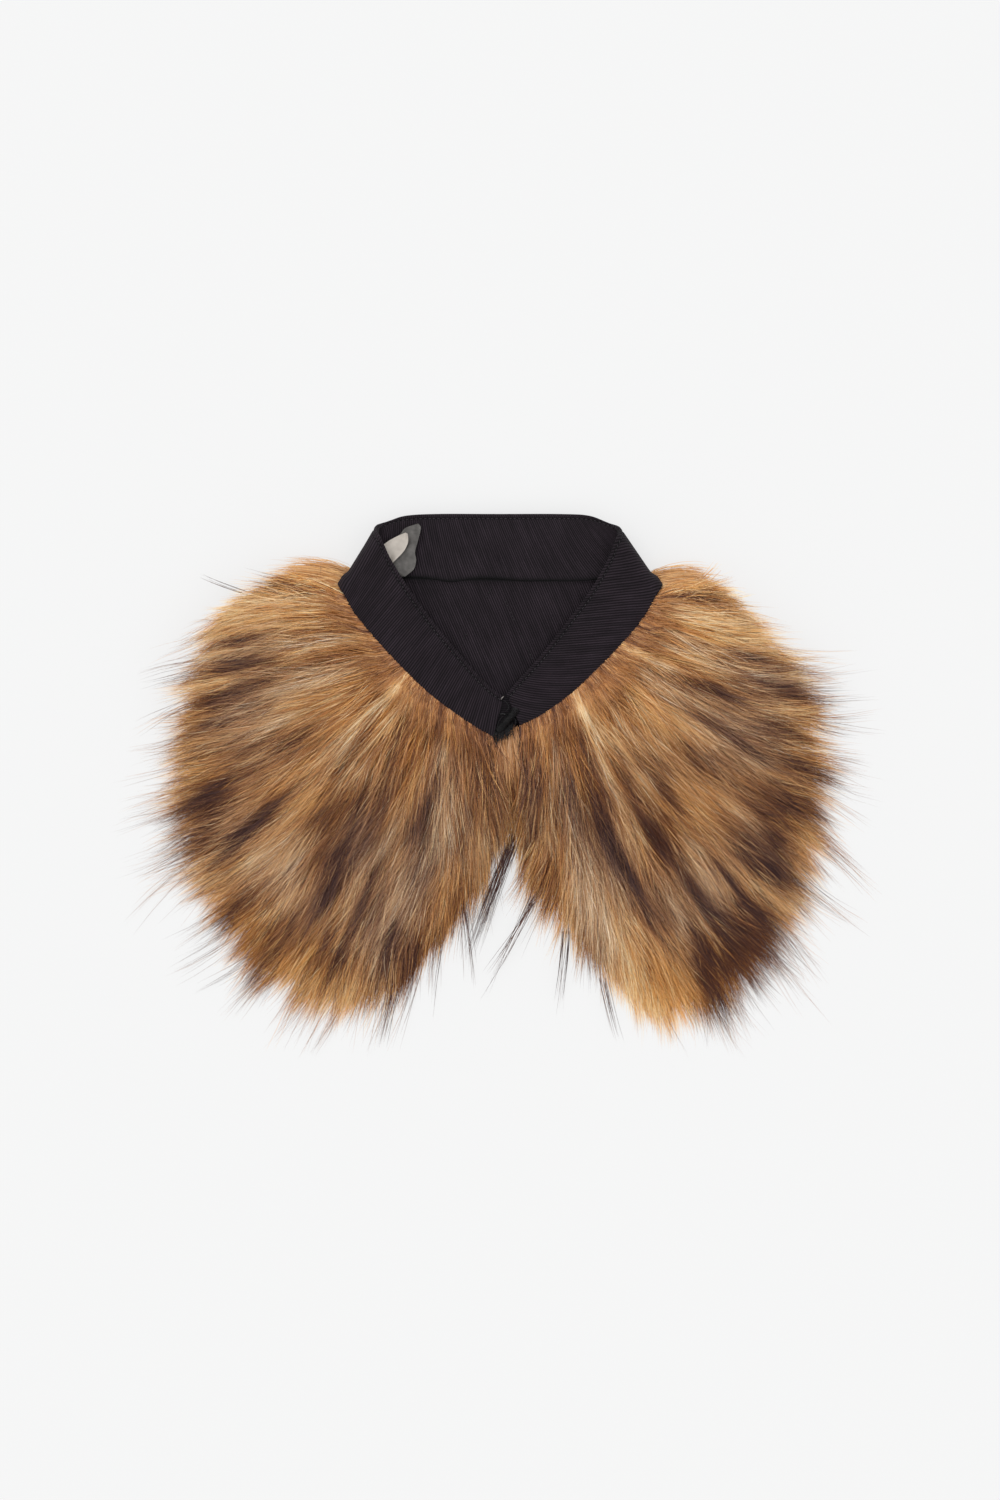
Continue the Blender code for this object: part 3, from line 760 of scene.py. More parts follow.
def stand_rows(stand):
    """Shares across the stand for each of its sections."""
    seam_side = np.array(SEAM_ROWS) / stand.width
    top_side = 1.0 - np.array(TOP_ROWS) / stand.width
    middle = np.arange(1, MIDDLE_ROWS + 1) / (MIDDLE_ROWS + 1)
    start, end = seam_side[:, -1:], top_side[:, :1]
    return np.hstack([seam_side, start + (end - start) * middle, top_side])


def ply_face(stand, across, creases):
    """How far a ply's outer face stands proud of its packed face."""
    from_seam, from_top = across * stand.width, (1.0 - across) * stand.width
    edge = np.minimum(from_top, from_seam)
    rounded = EDGE_ROUNDING * (1.0 - np.sqrt(np.clip(1.0 - (1.0 - edge / EDGE_ROUNDING) ** 2, 0.0, 1.0)))
    rounded = np.where(edge < EDGE_ROUNDING, rounded, 0.0)
    pucker = Noise(31)(stand.along / 4.6, 0.0) - 0.5 + 0.4 * np.sin(stand.along * 2 * np.pi / STITCH_PITCH)
    trough = STITCH_TROUGH * np.exp(-(((from_top - TOPSTITCH) / TROUGH_HALF_WIDTH) ** 2))
    lip = pucker * LIP_PUCKER * np.exp(-(((from_top - 1.3) / 1.0) ** 2))
    drape = DRAPE * (Noise(32)(stand.along / 26.0, from_seam / 14.0) - 0.5)
    inside = smooth(np.minimum(stand.along, stand.along[-1] - stand.along) / 6.0)
    return lip - rounded - trough + (drape - crease_depth(creases, stand.along, from_seam)) * inside


def build_ply(stand, side, held, creases, ribs, material):
    """A ply of the stand."""
    across = stand_rows(stand)
    opening = stand.opening(across, held)
    face = ply_face(stand, across, creases)
    upper = stand.surface(across, side, opening + TWILL + face)
    lower = stand.surface(across, side, np.maximum(opening + np.minimum(face, 0.0) * 0.2, PLY_GAP / 2))
    from_seam = across * stand.width
    turn = np.radians(ribs)
    pitch = OUTER_RIB_PITCH if side > 0 else INNER_RIB_PITCH
    phase = (from_seam * np.cos(turn) - stand.along * np.sin(turn)) / pitch
    flat = np.stack([np.broadcast_to(stand.along, across.shape), from_seam, phase], axis=2)
    name = "outer" if side > 0 else "inner"
    # Painted shade beside the inner ply's seam edge and in the stitches' trough.
    painted_shade = np.exp(-((from_seam / PAINTED_SHADE_SEAM) ** 2)) * (side < 0)
    from_stitches = (1.0 - across) * stand.width - TOPSTITCH
    painted_shade = painted_shade + 0.9 * np.exp(-((from_stitches / PAINTED_SHADE_STITCHES) ** 2))
    piece = shell(f"stand_{name}_twill", upper, lower, flat, material, "twill", painted_shade)
    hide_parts(f"stand_{name}_ply")
    return piece


# Creases in the back's lining, where it shows in the neck: x, y, half length, half width, bearing and
# depth. Negative depth is a ridge.
NECK_CREASES = (
    (-15, 98, 19, 0.9, 57, 0.6),
    (-12.6, 97, 19, 1.2, 57, -0.45),
    (12, 89.4, 20, 0.9, -65, 0.5),
    (9.9, 88.4, 20, 1.3, -65, -0.4),
    (-38, 104, 13, 3.4, 20, 0.3),
    (33, 103, 14, 3.2, -25, 0.28),
    (0, 72, 10, 3.2, 80, 0.25),
    (-8, 112.5, 26, 2.4, 1, -0.45),
    (30, 112, 20, 2.2, -2, -0.4),
    (-46, 113, 15, 2.2, 3, -0.4),
)
SEAM_GROOVE = 2.6
GROOVE_HALF_WIDTH = 1.6
LINING_DRAPE = 0.35
GROUND_THICKNESS = 0.8
LINING_COLUMNS = 96
LINING_STEPS = 44
HIDDEN_COLUMNS = 56
HIDDEN_STEPS = 26


def cloth_grid(panel, columns, steps):
    """(distance, x, y, z) of a panel's boundary, from the seam to the cut edge."""
    lines = panel.lines(np.linspace(0.0, 1.0, columns)[:, None])
    cut = lines.reach - lines.overhang
    part = np.linspace(0.0, 1.0, steps) ** 1.25
    distance = np.broadcast_to(0.4 + (cut - 0.4) * part, (columns, steps))
    x, y = panel.place(lines, distance)
    return distance, x, y, panel.boundary(lines, distance, x, y)


def tuck_in(panel, points, offset):
    """The grid with one more row, the edge that the stand's plies hold."""
    rows = between(panel.table, np.linspace(0.0, 1.0, len(points)) * (len(panel.table) - 1))[:, 0]
    section = between(panel.stand, rows)
    seam, top = section[:, :3], section[:, 3:]
    held = seam + (top - seam) * (TUCK / np.linalg.norm(top - seam, axis=1))[:, None]
    return np.concatenate([(held + (0.0, 0.0, offset))[:, None], points], axis=1)


def build_lining(name, panel, creases, columns, steps, material):
    """The lining of a panel."""
    distance, x, y, z = cloth_grid(panel, columns, steps)
    soft = LINING_DRAPE * (Noise(41)(x / 22.0 + 50.0, y / 22.0 + 50.0) - 0.5)
    groove = SEAM_GROOVE * np.exp(-((distance / GROOVE_HALF_WIDTH) ** 2)) * (panel.up < 0)
    sink = crease_depth(creases, x, y) + groove
    relief = (soft - sink) * smooth(distance / 1.0)
    faces = []
    for offset in (PLY_GAP / 2, PLY_GAP / 2 + TWILL):
        points = np.stack([x, y, np.maximum(z - panel.up * (offset - relief * -panel.up), 0.0)], axis=2)
        faces.append(tuck_in(panel, points, -panel.up * offset))
    turn = math.radians(LINING_RIBS)
    places = faces[0][..., :2]
    phase = (places[..., 1] * math.cos(turn) - places[..., 0] * math.sin(turn)) / LINING_RIB_PITCH
    # Painted shade in the groove along the seam.
    painted_shade = np.exp(-((distance / 1.5) ** 2))
    painted_shade = np.concatenate([painted_shade[:, :1], painted_shade], axis=1)
    flat = np.concatenate([places, phase[..., None]], axis=2)
    piece = shell(f"{name}_twill", *faces, flat, material, "twill", painted_shade)
    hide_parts(name)
    return piece


def build_ground(name, panel, material):
    """The pile's knitted ground, on the pile's side of the boundary."""
    distance, x, y, z = cloth_grid(panel, HIDDEN_COLUMNS, HIDDEN_STEPS)
    faces = []
    for offset in (PLY_GAP / 2, PLY_GAP / 2 + GROUND_THICKNESS):
        points = np.stack([x, y, z + panel.up * offset], axis=2)
        faces.append(tuck_in(panel, points, panel.up * offset))
    flat = np.stack([x, y, distance], axis=2)
    flat = np.concatenate([flat[:, :1], flat], axis=1)
    return shell(f"{name}_ground", *faces, flat, material, "fur")


# ------------------------------------------------------------
# Sewing, label and closing
# ------------------------------------------------------------

TUBE_SIDES = 6
TUBE_TURNS = np.arange(TUBE_SIDES) * 2 * np.pi / TUBE_SIDES
# A stitch: where its rings of points lie along it, and how wide each is.
BEAD_SPANS = np.array((-0.5, -0.32, 0.0, 0.32, 0.5))
BEAD_GIRTHS = np.array((0.25, 0.85, 1.0, 0.85, 0.25))


def circle(side, over):
    """Points on a circle round each place, from the directions across it."""
    turns = TUBE_TURNS[:, None]
    return side[:, None] * np.cos(turns) + over[:, None] * np.sin(turns)


def tube_faces(rings):
    """Faces round a tube of rings of points and over its ends."""
    number = np.arange(rings * TUBE_SIDES).reshape(rings, TUBE_SIDES)
    turned = np.roll(number, -1, axis=1)
    quads = np.stack([number[:-1], turned[:-1], turned[1:], number[1:]], axis=-1).reshape(-1, 4)
    caps = np.array([[0, 3, 2, 1], [0, 5, 4, 3]])
    return np.concatenate([quads, caps, caps[:, ::-1] + number[-1, 0]])


def beads(name, places, directions, ups, length, width, height, material):
    """Short rounded threads as one mesh: places are their middles, and directions their lengths."""
    directions = unit(directions)
    across = unit(np.cross(ups, directions))
    ring = circle(across * width, np.cross(directions, across) * height) / 2
    centre = places[:, None] + directions[:, None] * (BEAD_SPANS * length)[:, None]
    points = centre[:, :, None] + ring[:, None] * BEAD_GIRTHS[:, None, None]
    faces = tube_faces(len(BEAD_SPANS))[None]
    faces = faces + (np.arange(len(places)) * points[0].size // 3)[:, None, None]
    return new_mesh(name, points.reshape(-1, 3), faces.reshape(-1, 4), material)


STITCH_SIZE = (1.7, 0.55, 0.4)
STITCH_PROUD = 0.12
STITCH_SEED = 51


def topstitch(stand, side, held, creases, material):
    """The row of stitches along the upper edge, on one ply's outer face."""
    across = 1.0 - TOPSTITCH / stand.width
    offset = stand.opening(across, held) + TWILL + ply_face(stand, across, creases) + STITCH_PROUD
    line = stand.surface(across, side, offset)[:, 0]
    inner = stand.surface(across, side, offset - 1.0)[:, 0]
    length = distances(line)
    dice = np.random.default_rng(STITCH_SEED + side)
    spots = np.arange(2.5, length[-1] - 1.5, STITCH_PITCH)
    spots = spots + dice.uniform(-0.2, 0.2, len(spots))
    ahead = sample(line, length, spots + 0.6) - sample(line, length, spots - 0.6)
    places, ups = sample(line, length, spots), sample(line - inner, length, spots)
    name = "topstitch_outer" if side > 0 else "topstitch_inner"
    return beads(name, places, ahead, ups, *STITCH_SIZE, material)


# Rows of stitches that show in the neck: start, end and pitch.
NECK_STITCHES = (
    ((2.7, 107.4), (19.5, 71.4), 2.3),
    ((-5.1, 115.5), (-22.5, 83.4), 2.6),
)
NECK_STITCH_SIZE = (1.1, 0.75, 0.3)


def neck_stitches(material):
    """Faint rows of stitches across the back's lining."""
    places, ahead = [], []
    for start, end, pitch in NECK_STITCHES:
        start, end = np.array(start), np.array(end)
        count = int(np.hypot(*(end - start)) / pitch)
        for step in range(count):
            x, y = start + (end - start) * (step + 0.5) / count
            places.append((x, y, back_height(x, y) - crease_depth(NECK_CREASES, x, y) + 0.05))
            ahead.append((*(end - start), 0.0))
    ups = np.tile((0.0, 0.0, 1.0), (len(places), 1))
    return beads("neck_stitches", np.array(places), np.array(ahead), ups, *NECK_STITCH_SIZE, material)


CORD_END = 0.3


def cord(name, route, diameter, material, steps=6):
    """A round thread on a smooth curve through its points, with closed ends."""
    line = curve(route, steps)
    ahead = unit(np.gradient(line, axis=0))
    side = unit(np.cross(ahead, (0.31, 0.17, 0.94)))
    girth = np.ones(len(line))
    girth[[0, -1]] = CORD_END
    points = line[:, None] + circle(side, np.cross(ahead, side)) * (diameter / 2 * girth)[:, None, None]
    return new_mesh(name, points.reshape(-1, 3), tube_faces(len(line))[:, ::-1], material)


# The blank label: its left and right edges from the top down, then those of the corner folded over it.
LABEL_LEFT = (
    (-50.4, 153.6),
    (-57.3, 150.9),
    (-61.1, 146.4),
    (-67.8, 142.8),
    (-72, 138),
    (-67, 129),
    (-60, 121.6),
)
LABEL_RIGHT = (
    (-49.3, 153.6),
    (-47.9, 150.9),
    (-49.5, 143.4),
    (-51.3, 136.8),
    (-50.7, 131.4),
    (-52.1, 126),
    (-57, 121.6),
)
FLAP_EDGES = (
    ((-57, 148.2), (-61.6, 146.2), (-68, 142.6), (-72, 138), (-66.5, 129.6)),
    ((-55.8, 147.4), (-55.4, 143.6), (-56.2, 140.2), (-58.8, 135.9), (-65, 129.6)),
)
LABEL_CELLS = 32
LABEL_THICKNESS = 0.5
LABEL_HEM_LIFT = 1.6
FLAP_CURL = 1.6


def strip(edges, rows, columns):
    """Shares down and across a strip between its left and right edges, and the places there."""
    down, share = np.linspace(0.0, 1.0, rows)[:, None], np.linspace(0.0, 1.0, columns)[None, :]
    left, right = (between(edge, down * (len(edge) - 1)) for edge in edges)
    return down, share, left + (right - left) * share[..., None]


def over_band(y):
    """Height of the back band's inner face."""
    seam, top = np.array(BACK_BAND[0][:3]), np.array(BACK_BAND[0][3:])
    across = (y - seam[1]) / (top[1] - seam[1])
    past_tuck = across * np.linalg.norm(top - seam) - TUCK
    opening = PLY_GAP / 2 + (TWILL + PLY_GAP) * (1.0 - smooth(past_tuck / PLIES_MEET))
    return seam[2] + (top[2] - seam[2]) * across + opening + TWILL


def label_sheet(name, edges, lift, curl, face, material):
    """A piece of the label between its left and right edges; face is 1 where its pale face shows, 0 where
    its back shows in painted shade.
    """
    down, share, place = strip(edges, LABEL_CELLS, LABEL_CELLS)
    x, y = place[..., 0], place[..., 1]
    creased = 0.35 * np.sin(down * 11.0 + share * 4.0) * share + 0.3 * np.sin(down * 5.0 - share * 6.0)
    height = over_band(y) + lift + curl * smooth((share - 0.45) / 0.55) + creased * (1.0 - face * 0.6)
    height += LABEL_HEM_LIFT * (1.0 - smooth((y - 122.0) / 10.0))
    upper, lower = (np.stack([x, y, height + more], axis=2) for more in (LABEL_THICKNESS, 0.0))
    flat = np.stack([x, y, np.full(x.shape, face)], axis=2)
    return shell(name, upper, lower, flat, material, "label_satin")


def build_label(material):
    """The folded satin label, and its corner turned over."""
    label = label_sheet("label_satin", (LABEL_LEFT, LABEL_RIGHT), 0.9, 0.8, 0.0, material)
    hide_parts("label")
    return label, label_sheet("label_corner", FLAP_EDGES, 1.9, FLAP_CURL, 1.0, material)


# Routes of the two wires that thread is wound round, and of the loose ends of thread.
HOOK_ROUTE = (
    (9.4, 41.8, 19.4),
    (7.9, 39.7, 20.5),
    (5.7, 37.1, 21),
    (3.4, 34.4, 21),
    (1, 31.6, 20.6),
    (-1.4, 28.9, 19.8),
)
EYE_ROUTE = (
    (-1.9, 30.2, 18.6),
    (-0.6, 29.2, 18.6),
    (1.2, 28.8, 18.6),
    (3, 29.4, 18.6),
    (4.4, 31, 18.6),
    (5, 33.4, 18.6),
    (4.8, 35.8, 18.6),
    (4, 37.8, 18.6),
)
LOOSE_THREADS = (
    ((2, 33, 20.6), (3.4, 29, 21.4), (2.4, 25.6, 21.6), (-1.4, 24, 21)),
    ((5.4, 34, 21), (4.6, 30.2, 21.8), (0.6, 27.6, 21.9), (-2.6, 26.9, 21.2)),
    ((6.6, 38.4, 20.8), (9, 35.2, 21.9), (8.4, 31.8, 22.2), (5, 30.4, 21.8)),
    ((1.4, 37.8, 20.3), (-0.8, 34.8, 21.2), (-1.6, 31.2, 21.6), (0.4, 28.2, 21.6)),
    ((3, 40.6, 20.2), (5, 42.8, 20.6), (4, 45.6, 20.4), (1.6, 47.4, 20.2)),
)
PALE_ROUTE = ((0.3, 47.6, 19.9), (1.0, 48.8, 20.3), (1.9, 49.6, 20.0))
# Sizes of wire and thread, and turns of thread to a millimetre of wire.
HOOK_WIRE, HOOK_TURNS = 4.6, 1.7
EYE_WIRE, EYE_TURNS = 1.2, 0.9
WINDING_STEPS = 40
WINDING_THREAD = 0.42
LOOSE_THREAD = 0.35
PALE_THREAD = 0.5


def wind(name, route, wire, turns_per_mm, material, seed):
    """Thread wound round a wire, with uneven turns."""
    line = curve(route, WINDING_STEPS)
    ahead = unit(np.gradient(line, axis=0))
    side = unit(np.cross(ahead, (0.1, 0.2, 1.0)))
    over = np.cross(ahead, side)
    length = distances(line)
    turn = length * turns_per_mm * 2 * np.pi + 2.0 * Noise(seed)(length / 1.7, 0.0)
    radius = wire / 2 + 0.22 + 0.25 * Noise(seed + 1)(length / 0.9, 0.0)
    coil = line + (side * np.cos(turn)[:, None] + over * np.sin(turn)[:, None]) * radius[:, None]
    return cord(name, coil, WINDING_THREAD, material, steps=1)


# The strip of twill behind the closing: its left and right edges from the top down.
FACING_EDGES = (
    ((1, 50.4), (-1.4, 42), (-3.8, 34), (-6.6, 25.6)),
    ((5.6, 51.4), (9, 42), (10.6, 35), (3, 26.4)),
)
FACING_CELLS = (14, 10)
FACING_HEIGHT = 18.7
FACING_THICKNESS = 0.7
# Painted shade over the whole facing, which lies in shadow behind the closing.
FACING_PAINTED_SHADE = 0.6


def build_facing(material):
    """The facing that joins the stand's ends behind the hook and the eye, darkened with painted shade."""
    share, place = strip(FACING_EDGES, *FACING_CELLS)[1:]
    height = FACING_HEIGHT - (place[..., 1] - 25.0) * 0.05 - 0.5 * np.sin(np.pi * share)
    height = np.stack([height + FACING_THICKNESS, height])[..., None]
    faces = [np.concatenate([place, level], axis=2) for level in height]
    flat = np.concatenate([place, place[..., 1:] / LINING_RIB_PITCH], axis=2)
    return shell("closing_facing", *faces, flat, material, "twill", FACING_PAINTED_SHADE)


# Ends of frayed thread: how many, the line that they start on, their bearing and how much they rise.
FRAY_ENDS = 150
FRAY_ROOTS = ((-4.6, 27.0, 20.4), (7.4, 31.6, 20.4))
FRAY_BEARING = 252.0
FRAY_SLOPE = 0.42
FRAY_SEED = 70


def build_fray(material):
    """Fine ends of black thread that stand out over the fur below the closing."""
    dice = np.random.default_rng(FRAY_SEED)
    gauss = partial(normal, dice, FRAY_ENDS)
    start, end = np.array(FRAY_ROOTS)
    root = start + (end - start) * dice.random(FRAY_ENDS)[:, None]
    root = root + np.stack([gauss(0.8), gauss(1.4), gauss(0.2)], axis=1)
    bearing, curl = np.radians(FRAY_BEARING + gauss(24.0)), np.radians(gauss(40.0))
    length = dice.uniform(2.0, 9.0, FRAY_ENDS)
    path = []
    for share in np.linspace(0.0, 1.0, 5):
        x, y = arc(bearing, curl, length, share)
        rise = length * share * np.sinc(curl * share / 2 / np.pi) * FRAY_SLOPE
        path.append(root + np.stack([x, y, rise], axis=1))
    points, faces = ribbons(np.stack(path), gauss(0.6), dice.uniform(0.2, 0.4, FRAY_ENDS))
    return new_mesh("closing_fray", points, faces, material)


def build_closing(thread, pale):
    """The worked thread round the hook and the eye, and the loose ends by them."""
    wind("hook_thread", HOOK_ROUTE, HOOK_WIRE, HOOK_TURNS, thread, 61)
    wind("eye_thread", EYE_ROUTE, EYE_WIRE, EYE_TURNS, thread, 63)
    for number, route in enumerate(LOOSE_THREADS, 1):
        cord(f"loose_thread_{number}", route, LOOSE_THREAD, thread)
    cord("pale_thread", PALE_ROUTE, PALE_THREAD, pale)
    build_fray(thread)


# ------------------------------------------------------------
# Hair
# ------------------------------------------------------------

# A layer of hair: how many locks, out of how many times as many the ones in dark patches are chosen, hairs
# in a lock, length and its spread, width at the root, how high in the pile the tips lie (from, to), a
# lock's half width at the root, how much of it closes up at the tip, how far its tips go past the reach
# (mean, spread and strays), how much a lock narrows to its point, the share of dark guard hairs, and spans
# along a hair.
Layer = namedtuple(
    "Layer",
    "locks choice hairs length spread width low high half_width close"
    " past past_spread stray taper guard spans",
)
UNDER = Layer(1050, 1, 10, 40.0, 0.10, 0.50, 0.35, 0.75, 4.5, 0.35, -7.0, 4.0, 0.0, 6.0, 0.03, 3)
TOP = Layer(1560, 1, 16, 54.0, 0.14, 0.31, 0.72, 1.06, 3.2, 0.84, 2.5, 6.0, 10.0, 16.0, 0.12, 3)
BACK_UNDER = Layer(900, 1, 9, 42.0, 0.12, 0.60, 0.25, 0.70, 5.0, 0.35, 0.0, 3.0, 0.0, 6.0, 0.05, 3)
BACK_TOP = Layer(900, 1, 12, 54.0, 0.14, 0.48, 0.60, 1.00, 4.0, 0.60, 3.0, 5.0, 0.0, 8.0, 0.12, 3)
WISPS = Layer(340, 3, 8, 78.0, 0.12, 0.30, 0.75, 1.12, 1.9, 0.86, 9.0, 5.0, 44.0, 12.0, 0.9, 5)
# Hairs whose tips lie past these are left out.
X_LIMIT, LOW_LIMIT = 236.0, -170.0

# Patches of colour in the pile, and broad painted shade over the middle where the fronts meet: x, y,
# half length along the hair, half width, and how far they shift the tone.
LEFT_PATCHES = (
    (-100.5, 82.8, 23, 4, 0.4),
    (-65.7, 51.6, 19, 3.4, 0.45),
    (-114.3, 57.6, 13, 3.4, 0.4),
    (-156.3, 41.4, 13, 3.4, 0.38),
    (-132.3, 32.4, 10, 4, 0.34),
    (-146.1, 11.4, 10, 4, 0.3),
    (-94.5, 15, 14, 4, 0.36),
    (-69.3, -41.4, 13, 3.6, 0.34),
    (-120.3, -50.4, 13, 4, 0.26),
    (-150.3, -46.8, 12, 4, 0.2),
    (-62.1, -70.8, 17, 4.6, 0.32),
    (-162.3, 81.6, 18, 2.8, -0.4),
    (-154.5, 68.4, 20, 3.6, -0.38),
    (-149.1, 55.8, 13, 3.6, -0.46),
    (-176.7, 30.6, 11, 3.4, -0.45),
    (-170.1, -5.4, 14, 4.6, -0.46),
    (-185.7, -17.4, 17, 4, -0.42),
    (-144.3, -24, 25, 4.4, -0.55),
    (-88.5, -22.2, 18, 4.4, -0.42),
    (-96.3, -44.4, 12, 3.4, -0.45),
    (-100.5, -64.8, 14, 4.6, -0.55),
    (-77.1, -61.2, 10, 3.6, -0.4),
    (-87.3, -85.8, 16, 4, -0.5),
    (-98.1, -109.2, 16, 4, -0.48),
    (-107.1, -102.6, 18, 3.6, -0.48),
    (-67.5, -96.6, 12, 3, -0.42),
    (-71.7, -117.6, 12, 3.4, -0.42),
    (-41.1, -54.6, 12, 3.8, -0.36),
    (-73.5, -135.6, 16, 9, -0.06),
    # Broad painted shade over the middle, where the fronts meet.
    (-14, 0, 40, 24, -0.2),
    (-60, -88, 26, 22, -0.09),
    (-80, -34, 16, 8, -0.1),
    (-46, -20, 22, 8, -0.32),
    (-50, -52, 17, 7, -0.28),
    (-76, -80, 13, 6, -0.22),
    (-92, -112, 14, 9, -0.2),
    (-166, -52, 14, 7, -0.2),
    (-12, -46, 12, 11, 0.22),
    (-45, 42, 14, 9, 0.12),
    (-160, 6, 18, 12, -0.08),
)
RIGHT_PATCHES = (
    (83.7, 75, 20, 2.4, 0.32),
    (52.5, 34.2, 18, 3.2, 0.42),
    (24.3, 23.4, 13, 3.6, 0.38),
    (118.5, 74.4, 20, 4, 0.32),
    (101.7, 43.8, 18, 4, 0.18),
    (63.9, 2.4, 22, 2.6, 0.34),
    (152.7, 26.4, 13, 3.2, 0.32),
    (119.7, -42.6, 22, 2.4, 0.36),
    (102.9, -72.6, 17, 3.6, 0.32),
    (59.7, -75.6, 22, 5.4, 0.26),
    (113.7, -108.6, 17, 4.2, 0.24),
    (137.7, -15.6, 14, 3.2, 0.32),
    (158.7, 70.2, 20, 2.8, -0.46),
    (173.7, 53.4, 18, 3.4, -0.48),
    (130.5, 51.6, 14, 3.8, -0.44),
    (124.5, 34.2, 15, 3.4, -0.46),
    (148.5, 16.2, 16, 3.4, -0.46),
    (186.9, 4.2, 21, 5, -0.5),
    (119.7, 14.4, 12, 3, -0.36),
    (95.7, -5.4, 18, 4, -0.46),
    (90.9, -33.6, 16, 3.4, -0.46),
    (65.7, -36.6, 23, 4, -0.48),
    (173.7, -15.6, 21, 4, -0.46),
    (130.5, -53.4, 21, 4.2, -0.55),
    (164.7, -57.6, 19, 5.6, -0.55),
    (121.5, -72.6, 21, 5.4, -0.55),
    (153.9, -79.8, 18, 5, -0.55),
    (118.5, -93.6, 14, 4, -0.44),
    (137.7, -99.6, 15, 5, -0.5),
    (128.7, -129.6, 19, 5.4, -0.52),
    (80.7, -63.6, 18, 3, -0.44),
    (22, -62, 18, 7, -0.1),
    # Broad painted shade over the middle, where the fronts meet.
    (16, 2, 36, 22, -0.2),
    (60, -34, 22, 16, -0.1),
    (76, -2, 14, 4.6, -0.3),
    (160, -24, 22, 22, -0.12),
    (148, -92, 20, 20, -0.09),
    (44, -94, 18, 12, 0.16),
    (76, -126, 14, 12, 0.16),
    (44, -18, 20, 7, -0.32),
    (150, -46, 18, 9, -0.2),
    (14, -48, 12, 10, 0.22),
    (46, -80, 12, 9, 0.1),
    (104, 10, 16, 7, -0.14),
    (190, -20, 14, 7, -0.2),
    (136, -112, 14, 8, -0.24),
)
# Tones: the pile's own and how far it spreads from hair to hair and from lock to lock, the streaks, how
# strongly hair answers to pale and dark patches, the pale shoulders, the painted light of the hem where
# light shines through thin hair, the shade at the root of a hair and along the seam, and the darkness of
# guard hairs as a whole and from their middle.
BASE_TONE = 0.525
HAIR_TONE_SPREAD, LOCK_TONE_SPREAD = 0.13, 0.06
STREAK_TONE = 0.44
PALE_ANSWER = 0.85
DARK_ANSWER = 1.50
SHOULDER_START, SHOULDER_FADE, SHOULDER_TONE = 0.64, 0.14, 0.15
HEM_START, PAINTED_HEM_GLOW = 0.82, 0.20
ROOT_SHADE, SEAM_SHADE = 0.14, 0.08
GUARD_TONE, GUARD_END_TONE = 0.10, 0.36
# Warmth: how far it wanders, and where it is higher or lower, at the hem as painted light through thin
# hair.
WARMTH_WANDER = 0.62
PAINTED_HEM_WARMTH, WARM_PARTING, WARM_SHOULDER, WARM_SEAM = 0.32, 0.06, 0.10, 0.22
GUARD_WARMTH, PATCH_WARMTH = 0.20, 0.45


def lay_patches(panel, patches):
    """The patches with the bearing of the hair under each."""
    share = np.linspace(0.0, 1.0, 220)[:, None]
    part = np.linspace(0.02, 1.0, 90)[None, :]
    lines = panel.lines(share)
    distance = part * lines.reach
    x, y = panel.place(lines, distance)
    bearing = panel.heading(lines, distance)
    found = []
    for place_x, place_y, half_length, half_width, shift in patches:
        nearest = np.argmin((x - place_x) ** 2 + (y - place_y) ** 2)
        found.append((place_x, place_y, half_length, half_width, bearing.ravel()[nearest], shift))
    return found


def patch_shift(laid, x, y):
    """How far the patches shift the tone at these places."""
    total = np.zeros(x.shape)
    for place_x, place_y, half_length, half_width, bearing, shift in laid:
        u, v = in_oval(x - place_x, y - place_y, bearing, half_length, half_width)
        total += shift * np.exp(-((u**2 + v**2) ** 1.3))
    return total


def streaks(panel, share, distance, seed):
    """Uneven streaks of lighter and darker hair along the fan, from about -1 to 1."""
    across = share * (len(panel.table) - 1) * 2.6
    fine = Noise(seed)(across * 1.9, distance / 24.0) - 0.5
    broad = Noise(seed + 1)(across * 0.8 + 40.0, distance / 50.0 + 9.0) - 0.5
    mixed = 1.3 * fine + 0.8 * broad
    return mixed - 1.5 * np.maximum(-mixed - 0.20, 0.0)


SOWING_CELLS = (140, 70)


def sow(panel, count, dice, nearer=0.0, farthest=1.0):
    """Random places on a panel's cloth, even in area: (share, distance)."""
    columns, rows = SOWING_CELLS
    share = (np.arange(columns) + 0.5) / columns
    part = nearer + (farthest - nearer) * (np.arange(rows)[:, None] + 0.5) / rows
    lines = panel.lines(share)
    cut = lines.reach - lines.overhang
    x, y = panel.place(lines, part * cut)
    heading = panel.heading(lines, part * cut)
    across = np.abs(np.gradient(x, axis=1) * np.sin(heading) - np.gradient(y, axis=1) * np.cos(heading))
    area = (across + 0.12) * cut
    chosen = dice.choice(area.size, count, p=(area / area.sum()).ravel())
    row, column = np.unravel_index(chosen, area.shape)
    spot = share[column] + (dice.random(count) - 0.5) / columns
    lines = panel.lines(spot)
    depth = part[row, 0] + (dice.random(count) - 0.5) / rows * (farthest - nearer)
    return spot, depth * (lines.reach - lines.overhang)


def spacing(panel, share, distance):
    """Millimetres across the fan for a whole share, at a place."""
    step = 0.002
    x0, y0 = panel.place(panel.lines(share - step), distance)
    x1, y1 = panel.place(panel.lines(share + step), distance)
    return np.hypot(x1 - x0, y1 - y0) / (2 * step)


HAIR_TAPER = 0.80


